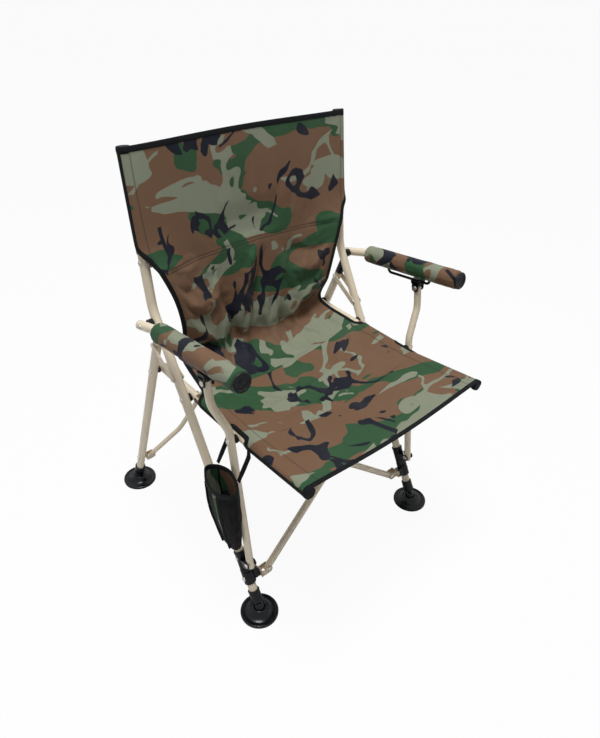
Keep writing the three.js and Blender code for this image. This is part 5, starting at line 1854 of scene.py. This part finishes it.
def tape_outline(width, thickness, steps=6):
    """Cross-section of a folded binding: a flat oval."""
    points = []
    for quarter, end in enumerate((1, -1, -1, 1)):
        for i in range(steps):
            x, y = on_circle(thickness / 2, math.pi / 2 * (quarter + i / steps))
            points.append((end * (width - thickness) / 2 + x, y))
    return points


def binding(name, path, width, thickness, body, flat_to):
    """Black binding folded over an edge. flat_to gives the direction its width lies along at each point."""
    points = []
    outline = tape_outline(width, thickness)
    for point, tangent in zip(path, tangents_of(path)):
        across = flat_to(point)
        across = (across - tangent * across.dot(tangent)).normalized()
        rise = across.cross(tangent)
        wobble = 0.0004 * noise.noise(point * 60)
        points += [point + across * (x + wobble) + rise * (y + wobble) for x, y in outline]
    return tape_object(name, points, ring_faces(len(path), len(outline)), body)


def dress(piece, cloth, body):
    """Gives a piece of printed cloth its material and the body that it rides on."""
    piece.data.materials.append(cloth)
    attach(piece, body)


def corner_cap(name, side, place, radius, skirt, rim, body):
    """Binding over the end of a sleeve: a shallow round cap with a short skirt."""
    reach = radius + SHEET
    profile = [(0.0, -0.003), (reach, -skirt), (reach + 0.0005, -rim), (reach - 0.0006, 0.0004), (0.0, 0.001)]
    cap = Piece(name, side)
    cap.turned(profile, place, sides=32)
    cap.finish([binding_tape()], body, "black_webbing")


BACK_SQUASH = ((-UPRIGHT_X, 0, 0), 0.363)
SEAT_SQUASH = ((-RAIL_X, 0, 0), 0.303)


class Slings:
    """The seat and back cloth, made once: they share the row at the crease and settle as one grid."""

    def __init__(self):
        self.back = Sling(back_row, BACK_LENGTH, back_folds)
        self.seat = Sling(seat_row, SEAT_LENGTH, seat_folds)
        back_grid, self.back_flat = between_rows(self.back, BACK_ROWS)
        seat_grid, self.seat_flat = between_rows(self.seat, SEAT_ROWS)
        grid = settle(back_grid + seat_grid[1:], self.held, self.slack)
        self.back_grid = grid[: BACK_ROWS + 1]
        self.seat_grid = grid[BACK_ROWS:]

    def held(self, row, column):
        """1 along the tubes, at the top and at the front edge, and 0 where the cloth is free."""
        from_edge = min(column, COLUMNS - column) / COLUMNS * 2 * UPRIGHT_X
        if from_edge < HELD_EDGE or row < HELD_ROWS or row > BACK_ROWS + SEAT_ROWS - HELD_ROWS:
            return 1.0
        return 0.0

    def slack(self, row, column):
        """How far a row may grow, from 0 to 1: most where the back and seat meet."""
        if row <= BACK_ROWS:
            share = row / BACK_ROWS
            return smooth(SEAM_SHARE - 0.02, SEAM_SHARE + 0.16, share)
        share = (row - BACK_ROWS) / SEAT_ROWS
        return 0.9 * (1 - smooth(0.05, 0.55, share)) + 0.1


slings = []


def the_slings():
    if not slings:
        slings.append(Slings())
    return slings[0]


# Settings


def colour_setting(name, description, default):
    return FloatVectorProperty(
        name=name, description=description, subtype="COLOR", size=3, default=default, min=0, max=1
    )


def number_setting(name, description, default, low, high, unit="NONE"):
    return FloatProperty(name=name, description=description, default=default, min=low, max=high, unit=unit)


class FrameSettings(bpy.types.PropertyGroup):
    frame_colour: colour_setting("Frame", "Powder coat of the tubes", (0.76, 0.66, 0.50))
    bracket_colour: colour_setting("Brackets", "Paint of the clevises", (0.64, 0.52, 0.36))
    plastic_colour: colour_setting("Mouldings", "Black plastic and rubber", (0.0030, 0.0040, 0.0058))


class ClothSettings(bpy.types.PropertyGroup):
    camo_brown: colour_setting("Brown", "Ground of the print", (0.185, 0.103, 0.060))
    camo_green: colour_setting("Green", "Dark green of the print", (0.030, 0.088, 0.038))
    camo_pale: colour_setting("Pale", "Pale grey-green of the print", (0.255, 0.278, 0.200))
    camo_dark: colour_setting("Dark", "Near-black of the print", (0.007, 0.009, 0.018))
    binding_colour: colour_setting("Binding", "Black edge tape and webbing", (0.0032, 0.0040, 0.0050))
    print_scale: number_setting("Print Scale", "Shapes of the print per metre, relative", 1.0, 0.2, 4)
    threads_per_metre: IntProperty(
        name="Threads", description="Threads of the weave per metre", default=1100, min=200, max=3000
    )
    binding_width: number_setting("Binding Width", "Width of the folded tape", 0.013, 0.004, 0.03, "LENGTH")
    binding_thickness: number_setting(
        "Binding Thickness", "Thickness of the folded tape", 0.0042, 0.001, 0.01, "LENGTH"
    )


class StageSettings(bpy.types.PropertyGroup):
    backdrop: colour_setting("Backdrop", "Floor and background", (1.0, 1.0, 1.0))
    key_power: number_setting("Key Light", "Power of the main lamp", 72.0, 0, 500, "POWER")
    fill_power: number_setting("Fill Light", "Power of the two side lamps", 5.0, 0, 500, "POWER")
    sky: number_setting("Sky", "Strength of the even light", 0.24, 0, 5)


# Operators

# Each pair of crossed tubes: its name, its body, its foot, its lean, its sizes, and its pins and knees
CROSSES = (
    (
        "front_cross",
        "cross",
        FRONT_CROSS_FOOT,
        FRONT_CROSS_LEAN,
        FRONT_CROSS_RADIUS,
        FRONT_CROSS_HEIGHT,
        FRONT_PIN_X,
    ),
    (
        "rear_cross",
        "rear_cross",
        REAR_CROSS_FOOT,
        REAR_CROSS_LEAN,
        REAR_CROSS_RADIUS,
        REAR_CROSS_HEIGHT,
        REAR_PIN_X,
        REAR_KNEE_IN,
        REAR_KNEE_UP,
    ),
)


class CAMPCHAIR_OT_tubes(bpy.types.Operator):
    """Draws the painted tubes of both side frames and the crossed tubes"""

    bl_idname = "camp_chair.tubes"
    bl_label = "Frame Tubes"

    def execute(self, context):
        finish = [frame_paint(), steel()]
        capped = [frame_paint(), black_plastic()]
        for name, side in SIDES:
            for build, node, body, materials in (
                (build_upright, f"upright_{name}", f"side_{name}", finish),
                (build_rear_leg, f"rear_leg_{name}", f"leg_{name}", finish),
                (build_seat_rail, f"seat_rail_{name}", f"rail_{name}", capped),
                (build_arm_post, f"arm_post_{name}", f"post_{name}", finish),
            ):
                build(node, side).finish(materials, body, "frame_paint", [node])
            arm = build_arm_tube(f"arm_{name}", side)
            arm.finish(finish, f"arm_{name}", "frame_paint", [f"arm_tube_{name}"])
            for cross, body, foot, lean, radius, height, *route in CROSSES:
                layer = side * (radius + CROSS_GAP / 2)
                corners = cross_corners(route[0], layer, height, *route[1:])
                place = side_frame(0, foot, lean)
                tube = build_cross_tube(f"{cross}_{name}", side, place, corners, radius, layer, height)
                tube.finish(finish, f"{body}_{name}", "frame_paint", [f"{cross}_tube_{name}"])
        return {"FINISHED"}


class CAMPCHAIR_OT_brackets(bpy.types.Operator):
    """Draws the sliders, saddles, link plates, leg plugs and clevises"""

    bl_idname = "camp_chair.brackets"
    bl_label = "Brackets"

    def execute(self, context):
        black = [black_plastic(), steel()]
        tan = [bracket_paint(), steel()]
        cream = [frame_paint(), steel()]
        for name, side in SIDES:
            body = f"side_{name}"
            node = f"slider_{name}"
            build_slider(node, side).finish(black, node, "black_plastic", [node])
            node = f"front_saddle_{name}"
            build_front_saddle(node, side).finish(black, body, "black_plastic", [node])
            for label, inner in (("outer_link", False), ("inner_link", True)):
                node = f"{label}_{name}"
                build_link(node, side, inner).finish(cream, f"links_{name}", "frame_paint", [node])
            node = f"rear_leg_saddle_{name}"
            build_rear_leg_plug(node, side).finish(black, f"leg_{name}", "black_plastic", [node])
            self.clevises(name, side, tan)
        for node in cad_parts:
            if "spacer" in node:
                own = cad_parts[node]
                own.data.materials.clear()
                own.data.materials.append(black_plastic())
        return {"FINISHED"}

    def clevises(self, name, side, tan):
        front = side * (FRONT_CROSS_RADIUS + CROSS_GAP / 2)
        rear = side * (REAR_CROSS_RADIUS + CROSS_GAP / 2)
        front_low = side_frame(0, FRONT_CROSS_FOOT, FRONT_CROSS_LEAN)
        front_high = front_low @ Matrix.Translation((0, 0, FRONT_CROSS_HEIGHT + UPPER_PIN_DROP))
        rear_low = side_frame(0, REAR_CROSS_FOOT, REAR_CROSS_LEAN)
        rear_high = rear_low @ Matrix.Translation((0, 0, REAR_CROSS_HEIGHT))
        saddle = SADDLE_FACE_X - GAP
        rail = RAIL_X - RAIL_RADIUS - GAP
        leg = UPRIGHT_X - UPRIGHT_RADIUS - GAP
        past_saddle = UPRIGHT_X + SLIDER_RADIUS + GAP
        past_leg = UPRIGHT_X + UPRIGHT_RADIUS + GAP
        rise = UPPER_PIN_DROP
        thick, thin = FRONT_CROSS_RADIUS, REAR_CROSS_RADIUS
        rows = [
            ("front_lower", "lower", front_low, saddle, FRONT_PIN_X, 0.0, thick, front, past_saddle),
            ("front_upper", "upper", front_high, rail, FRONT_PIN_X, rise, thick, -front, None),
            ("rear_lower", "rear_lower", rear_low, leg, REAR_PIN_X, 0.0, thin, rear, past_leg),
            ("rear_upper", "rear_upper", rear_high, leg, REAR_PIN_X, 0.0, thin, -rear, None),
        ]
        for label, body, *sizes in rows:
            node = f"{label}_clevis_{name}"
            build_clevis(node, side, *sizes).finish(tan, f"{body}_clevis_{name}", "clevis_paint", [node])


class CAMPCHAIR_OT_feet(bpy.types.Operator):
    """Draws the ferrules with their balls and the swivel mud feet"""

    bl_idname = "camp_chair.feet"
    bl_label = "Feet"

    def execute(self, context):
        for name, side in SIDES:
            for end, point, lean, ball, body in (
                ("front", FRONT_FOOT, UPRIGHT_LEAN, FRONT_BALL_ALONG, f"side_{name}"),
                ("rear", REAR_FOOT, REAR_LEG_LEAN, REAR_BALL_ALONG, f"leg_{name}"),
            ):
                leg = side_frame(UPRIGHT_X, point, lean) @ Matrix.Translation((0, 0, ball))
                node = f"{end}_ferrule_{name}"
                build_ferrule(node, side, leg).finish([black_plastic()], body, "black_plastic", [node])
                level = side_frame(UPRIGHT_X, along(point, lean, ball), 0.0)
                node = f"{end}_foot_{name}"
                build_foot(node, side, level).finish([black_rubber()], node, "black_rubber", [node])
        return {"FINISHED"}


class CAMPCHAIR_OT_arms(bpy.types.Operator):
    """Draws the foam arm covers with their plugs, guide wires and runners"""

    bl_idname = "camp_chair.arms"
    bl_label = "Arms"

    def execute(self, context):
        for name, side in SIDES:
            body = f"arm_{name}"
            cloth = camo_material(f"arm_cloth_{name}", False, (0.37 + 0.2 * side, 1.13, 0.11))
            cover = build_arm_cover(f"arm_{name}", side)
            cover = cover.finish([cloth], body, "camo_cloth", [f"arm_sleeve_{name}"])
            node = f"arm_plug_{name}"
            build_arm_plug(node, side).finish([black_plastic()], body, "black_plastic", [node])
            node = f"arm_wire_{name}"
            build_arm_wire(node, side).finish([black_plastic()], body, "black_plastic", [node])
            node = f"arm_runner_{name}"
            runner = build_runner(node, side)
            runner.finish([black_plastic(), steel()], f"runner_{name}", "black_plastic", [node])
        return {"FINISHED"}


class CAMPCHAIR_OT_back(bpy.types.Operator):
    """Draws the sling back with its sleeves and binding"""

    bl_idname = "camp_chair.back"
    bl_label = "Back"

    def execute(self, context):
        made = the_slings()
        sling = made.back
        edge = sling.reach(0.0)
        seam_down = sling.length * SEAM_SHARE
        cloth = camo_material(
            "back_cloth",
            True,
            (0.31, 0.52, 0.0),
            seams=(
                ("X", 0.024 - edge, seam_down + 0.02),
                ("X", edge - 0.024, seam_down + 0.02),
                ("Y", -seam_down, 1.0),
                ("Y", -seam_down - 0.0065, 1.0),
            ),
        )
        sheet = grid_sheet("back_cloth", made.back_grid, made.back_flat)
        dress(sheet, cloth, "side_right")
        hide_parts("back_panel")
        2 * sling.split(0.0)
        cloth_area(sling)
        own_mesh(sheet)
        for name, side in SIDES:
            self.sleeve(name, side, sling, cloth)
        self.tapes(sling)
        return {"FINISHED"}

    def sleeve(self, name, side, sling, cloth):
        grid, flat = wrap_rows(sling, BACK_ROWS, side)
        dress(grid_sheet(f"back_wrap_{name}", grid, flat), cloth, f"side_{name}")
        start = upper_at(SLEEVE_END_Z - 0.004)
        path = [upper_point(start + (BACK_TOP_ALONG - 0.001 - start) * i / 30) for i in range(31)]

        def keep_face(point, turn, share):
            """The tube's front, and all round it at the foot."""
            return math.sin(turn) < 0.35 or share < 0.3

        sleeve = cloth_tube(f"back_sleeve_{name}", path, WRAP_RADIUS - SHEET / 2, side, keep_face, 0.4)
        dress(sleeve, cloth, f"side_{name}")

    def tapes(self, sling):
        width, top_width = 0.0085, 0.0095
        places = [sling.length * i / 400 for i in range(400, 0, -1)]
        turn_down = next(down for down in places if sling.reach(down) - sling.split(down) > 0.0006)
        half = sling.split(0.0)
        reach = sling.reach(0.0)
        for name, side in SIDES:
            outer = side_path(sling, turn_down, 0.0, side, width, corner=0.0, steps=120)
            over = end_path(sling, 0.0, side * reach, side * half, 1.0, top_width, steps=24)
            edge_tape(f"back_side_tape_{name}", sling, outer + over[1:], top_width, f"side_{name}")
            lower = side_path(sling, sling.length, turn_down, side, width, steps=110)
            edge_tape(f"back_waist_tape_{name}", sling, lower, width, "side_right", BACK_SQUASH)
        top = end_path(sling, 0.0, -half, half, 1.0, top_width, corners=False)
        edge_tape("back_top_tape", sling, top, top_width, "side_right", BACK_SQUASH)
        for name, side in SIDES:
            turned = Matrix.Translation(upper_point(BACK_TOP_ALONG)) @ Matrix.Rotation(-UPPER_LEAN, 4, "X")
            corner_cap(f"back_corner_{name}", side, turned, WRAP_RADIUS, 0.011, 0.004, f"side_{name}")


class CAMPCHAIR_OT_seat(bpy.types.Operator):
    """Draws the sling seat with its sleeves and binding"""

    bl_idname = "camp_chair.seat"
    bl_label = "Seat"

    def execute(self, context):
        made = the_slings()
        sling = made.seat
        seam_out = 0.214
        seams = (("X", -seam_out, 1.0), ("X", seam_out, 1.0))
        cloth = camo_material("seat_cloth", True, (1.77, 0.93, 0.0), seams=seams)
        sheet = grid_sheet("seat_cloth", made.seat_grid, made.seat_flat)
        dress(sheet, cloth, "rail_right")
        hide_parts("seat_panel")
        2 * sling.split(sling.length)
        cloth_area(sling)
        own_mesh(sheet)
        for name, side in SIDES:
            self.sleeve(name, side, sling, cloth)
        self.tapes(sling)
        return {"FINISHED"}

    def sleeve(self, name, side, sling, cloth):
        grid, flat = wrap_rows(sling, SEAT_ROWS, side)
        dress(grid_sheet(f"seat_wrap_{name}", grid, flat), cloth, f"rail_{name}")
        path = [sample(SEAT_CENTRE, 0.01 + 0.985 * i / 70) for i in range(71)]

        def keep_face(point, turn, share):
            """All but a strip at the top. Beside the arm post, the inner side and the very top."""
            near_post = abs(point.y - POST_PIVOT.x) < 0.021
            high = math.sin(turn) > 0.9
            inner = math.cos(turn) < -0.2
            if near_post:
                return inner or high
            return math.sin(turn) < 0.6 or high

        sleeve = cloth_tube(f"seat_sleeve_{name}", path, RAIL_WRAP_RADIUS - SHEET / 2, side, keep_face, 0.7)
        dress(sleeve, cloth, f"rail_{name}")

    def tapes(self, sling):
        width, front_width = 0.0080, 0.0085
        half, reach = sling.split(sling.length), sling.reach(sling.length)
        for name, side in SIDES:
            outer = side_path(sling, 0.0, sling.length, side, width, corner=sling.length, steps=150)
            over = end_path(sling, sling.length, side * reach, side * half, -1.0, front_width, steps=24)
            edge_tape(f"seat_side_tape_{name}", sling, outer + over[1:], front_width, f"rail_{name}")
        front = end_path(sling, sling.length, -half, half, -1.0, front_width, corners=False)
        edge_tape("seat_front_tape", sling, front, front_width, "rail_right", SEAT_SQUASH)
        for name, side in SIDES:
            end, before = sample(SEAT_CENTRE, 1.0), sample(SEAT_CENTRE, 0.97)
            turned = Matrix.Translation(end) @ (end - before).to_track_quat("Z", "Y").to_matrix().to_4x4()
            corner_cap(f"seat_corner_{name}", side, turned, RAIL_WRAP_RADIUS, 0.009, 0.003, f"rail_{name}")


class CAMPCHAIR_OT_pocket(bpy.types.Operator):
    """Draws the hanging cup pocket: printed sides, net front, black binding and straps"""

    bl_idname = "camp_chair.pocket"
    bl_label = "Cup Pocket"

    rows = 36
    around = 64
    # Seams down the bag, in degrees round it
    seams = {"front": 222, "inner": 340, "rear": 38, "outer": 140}
    cloth_width = 0.30
    cloth_height = 0.19
    inset = 0.0006

    def section(self, share, inset):
        height = POCKET_BOTTOM_Z + (POCKET_TOP_Z - POCKET_BOTTOM_Z) * share
        spread = POCKET_BOTTOM_SHARE + (1 - POCKET_BOTTOM_SHARE) * math.sin(share * math.pi / 2)
        half_x = POCKET_DEPTH / 2 * spread - inset
        half_y = (POCKET_REAR_Y - POCKET_FRONT_Y) / 2 * spread - inset
        middle_y = (POCKET_REAR_Y + POCKET_FRONT_Y) / 2 - (1 - share) * STRAP_WIDTH
        middle_x = POCKET_INNER_X + inset + half_x
        return height, half_x, half_y, middle_x, middle_y

    def point(self, share, turn, inset):
        height, half_x, half_y, middle_x, middle_y = self.section(share, inset)
        square = 3.2 - 1.5 * share
        reach = (abs(math.cos(turn)) ** square + abs(math.sin(turn)) ** square) ** (-1 / square)
        slack = 0.0016 * noise.noise(Vector((*on_circle(3, turn), 5 * share)))
        x = middle_x + (half_x * reach + slack * share * (1 - share) * 3) * math.cos(turn)
        y = middle_y + (half_y * reach + slack) * math.sin(turn)
        drop = POCKET_MOUTH_DROP * share * ((x - POCKET_INNER_X) / POCKET_DEPTH)
        return Vector((-x, y, height - drop))

    def execute(self, context):
        self.bag()
        self.tapes(context.scene.camp_chair_cloth)
        self.straps()
        return {"FINISHED"}

    def bag(self):
        points, uvs = [], []
        for row in range(self.rows + 1):
            for i in range(self.around):
                points.append(self.point(row / self.rows, 2 * math.pi * i / self.around, self.inset))
                uvs.append((self.cloth_width * i / self.around, self.cloth_height * row / self.rows))
        faces = ring_faces(self.rows + 1, self.around, capped=False)
        turns = [360 * (i + 0.5) / self.around for i in range(self.around)]
        front, inner, rear = self.seams["front"], self.seams["inner"], self.seams["rear"]
        kinds = [int(front < turn < inner or turn < rear) for turn in turns] * self.rows
        base_middle = sum(points[: self.around], Vector()) / self.around
        points.append(base_middle + Vector((0, 0, 0.002)))
        uvs.append((0.1, 0.0))
        for i in range(self.around):
            faces.append(((i + 1) % self.around, i, len(points) - 1))
            kinds.append(0)
        mesh = new_mesh("pocket_bag", points, faces)
        layer = mesh.uv_layers.new(name="flat")
        for polygon, kind in zip(mesh.polygons, kinds):
            polygon.material_index = kind
            polygon.use_smooth = True
            wide = any(uvs[mesh.loops[i].vertex_index][0] > 0.28 for i in polygon.loop_indices)
            for i in polygon.loop_indices:
                u, v = uvs[mesh.loops[i].vertex_index]
                layer.data[i].uv = (u + self.cloth_width if wide and u < 0.02 else u, v)
        mesh.materials.append(camo_material("pocket_cloth", True, (3.3, 2.2, 0.0), turn=1.1))
        mesh.materials.append(shop.material(mesh_material))
        bag = show("pocket_bag", mesh)
        outward(bag)
        thicken(bag, 0.0009)
        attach(bag, "post_right")
        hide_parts("cup_pocket")

    def tapes(self, settings):
        width, thickness = settings.binding_width * 0.8, settings.binding_thickness * 0.9
        rim = [self.point(1.0, 2 * math.pi * i / 72, self.inset) for i in range(73)]
        rim[0] = rim[-1] = (rim[0] + rim[-1]) / 2
        upright = Vector((0, 0, 1))
        binding("pocket_rim_tape", rim, width, thickness, "post_right", flat_to=lambda point: upright)
        for label, turn in self.seams.items():
            path = [self.point(i / 30, math.radians(turn), 0.0002) for i in range(31)]
            middle = Vector((-(POCKET_INNER_X + POCKET_DEPTH / 2), (POCKET_REAR_Y + POCKET_FRONT_Y) / 2, 0))
            binding(
                f"pocket_{label}_tape",
                path,
                width * 0.7,
                thickness * 0.8,
                "post_right",
                flat_to=lambda point: upright.cross(Vector((point.x, point.y, 0)) - middle),
            )

    def twist(self, share):
        """A strap's turn about its own length: on edge at both ends, and further round between."""
        return math.pi / 2 + 0.9 * math.sin(math.pi * share) ** 2

    def straps(self):
        inner = RAIL_X + (RAIL_RADIUS + GAP) / math.cos(math.pi / 12) + CLOTH + GAP + STRAP_THICKNESS / 2
        outer = POCKET_INNER_X + 0.001
        low = POCKET_TOP_Z - 0.004
        for label, y in (("rear", STRAP_REAR_Y), ("front", STRAP_FRONT_Y)):
            piece = Piece(f"pocket_strap_{label}", 1)
            corners = [(-inner, y, STRAP_TOP_Z), (-inner, y, STRAP_KNEE_Z), (-outer, y, low)]
            path = bent_path(corners, 0.012)
            dense = [path[0]]
            for a, b in zip(path, path[1:]):
                steps = max(1, int((b - a).length / 0.003))
                dense += [a.lerp(b, (i + 1) / steps) for i in range(steps)]
            outline = tape_outline(STRAP_WIDTH * 0.8, STRAP_THICKNESS)
            piece.sweep(dense, outline, Matrix.Identity(4), twist=self.twist)
            strap = piece.finish([binding_tape()], "post_right", "black_webbing")
            if label == "rear":
                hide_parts("pocket_straps")


class CAMPCHAIR_OT_stage(bpy.types.Operator):
    """Sets the floor, the soft lamps and the camera"""

    bl_idname = "camp_chair.stage"
    bl_label = "Stage"

    def execute(self, context):
        settings = context.scene.camp_chair_stage
        self.floor(settings)
        self.world(context, settings)
        self.lamps(settings)
        self.camera(context)
        context.scene.view_settings.view_transform = "Standard"
        return {"FINISHED"}

    def floor(self, settings):
        reach = 30.0
        corners = [(-reach, -reach, 0), (reach, -reach, 0), (reach, reach, 0), (-reach, reach, 0)]
        mesh = new_mesh("floor", corners, [(0, 1, 2, 3)])
        material, n, shader = new_material("floor_paper")
        set_values(shader, Base_Color=(0.92, 0.92, 0.92, 1), Roughness=0.9)
        glow = n.new("ShaderNodeEmission", inputs={"Color": (*settings.backdrop, 1.0), "Strength": 1.0})
        both = n.new("ShaderNodeMixShader")
        path = n.new("ShaderNodeLightPath")
        seen = n.times(path.outputs["Is Camera Ray"], 0.94)
        n.link(seen, both.inputs[0])
        n.link(shader.outputs[0], both.inputs[1])
        n.link(glow.outputs[0], both.inputs[2])
        n.link(both.outputs[0], material.node_tree.nodes["Material Output"].inputs["Surface"])
        mesh.materials.append(material)
        floor = show("floor", mesh)
        floor.location.z = -0.0006

    def world(self, context, settings):
        world = bpy.data.worlds.new("studio")
        world.use_nodes = True
        context.scene.world = world
        n = Nodes(world.node_tree)
        background = world.node_tree.nodes["Background"]
        path = n.new("ShaderNodeLightPath")
        seen = n.math("MAXIMUM", path.outputs["Is Camera Ray"], path.outputs["Is Glossy Ray"])
        seen = n.math("MAXIMUM", seen, path.outputs["Is Transmission Ray"])
        background.inputs["Color"].default_value = (*settings.backdrop, 1.0)
        n.link(n.range(seen, 0.0, 1.0, settings.sky, 1.0, smooth=False), background.inputs["Strength"])

    def lamps(self, settings):
        rows = [
            ("key_lamp", (-0.45, -0.30, 3.3), 1.1, settings.key_power),
            ("fill_lamp", (2.4, -1.2, 2.0), 2.0, settings.fill_power),
            ("rear_lamp", (0.4, 2.6, 2.4), 2.0, settings.fill_power),
        ]
        target = Vector((0, 0, 0.45))
        for name, place, size, power in rows:
            lamp = bpy.data.lights.new(name, "AREA")
            lamp.shape = "DISK"
            lamp.size = size
            lamp.energy = power
            holder = show(name, lamp)
            holder.location = place
            holder.rotation_euler = (target - Vector(place)).to_track_quat("-Z", "Y").to_euler()

    def camera(self, context):
        azimuth, elevation, roll = CAMERA_AZIMUTH, CAMERA_ELEVATION, CAMERA_ROLL
        right = Vector((math.cos(azimuth), math.sin(azimuth), 0))
        ahead = Vector((-math.sin(azimuth), math.cos(azimuth), 0))
        high = Vector((0, 0, 1))
        up = ahead * math.sin(elevation) + high * math.cos(elevation)
        back = high * math.sin(elevation) - ahead * math.cos(elevation)
        rolled = right * math.cos(roll) + up * math.sin(roll)
        risen = up * math.cos(roll) - right * math.sin(roll)
        lens = bpy.data.cameras.new("photo_camera")
        lens.sensor_width = SENSOR
        lens.lens = SENSOR * FOCAL_PX / PHOTO_HEIGHT_PX
        lens.clip_start = 0.01
        camera = show("photo_camera", lens)
        turned = Matrix((rolled, risen, back)).transposed().to_4x4()
        camera.matrix_world = Matrix.Translation(CAMERA_PLACE) @ turned
        context.scene.camera = camera


class CAMPCHAIR_PT_panel(bpy.types.Panel):
    bl_label = "Camp Chair"
    bl_idname = "CAMPCHAIR_PT_panel"
    bl_space_type = "VIEW_3D"
    bl_region_type = "UI"
    bl_category = "Camp Chair"

    def draw(self, context):
        column = self.layout.column()
        for group in ("camp_chair_frame", "camp_chair_cloth", "camp_chair_stage"):
            settings = getattr(context.scene, group)
            for name in settings.__annotations__:
                column.prop(settings, name)
        for step in STEPS:
            column.operator(step.bl_idname)


STEPS = (
    CAMPCHAIR_OT_tubes,
    CAMPCHAIR_OT_brackets,
    CAMPCHAIR_OT_feet,
    CAMPCHAIR_OT_arms,
    CAMPCHAIR_OT_back,
    CAMPCHAIR_OT_seat,
    CAMPCHAIR_OT_pocket,
    CAMPCHAIR_OT_stage,
)
CLASSES = (FrameSettings, ClothSettings, StageSettings, *STEPS, CAMPCHAIR_PT_panel)


def register():
    for cls in CLASSES:
        bpy.utils.register_class(cls)
    bpy.types.Scene.camp_chair_frame = PointerProperty(type=FrameSettings)
    bpy.types.Scene.camp_chair_cloth = PointerProperty(type=ClothSettings)
    bpy.types.Scene.camp_chair_stage = PointerProperty(type=StageSettings)


def unregister():
    del bpy.types.Scene.camp_chair_frame
    del bpy.types.Scene.camp_chair_cloth
    del bpy.types.Scene.camp_chair_stage
    for cls in reversed(CLASSES):
        bpy.utils.unregister_class(cls)


def main():
    register()
    for step in STEPS:
        group, name = step.bl_idname.split(".")
        getattr(getattr(bpy.ops, group), name)()


if __name__ == "__main__":
    main()
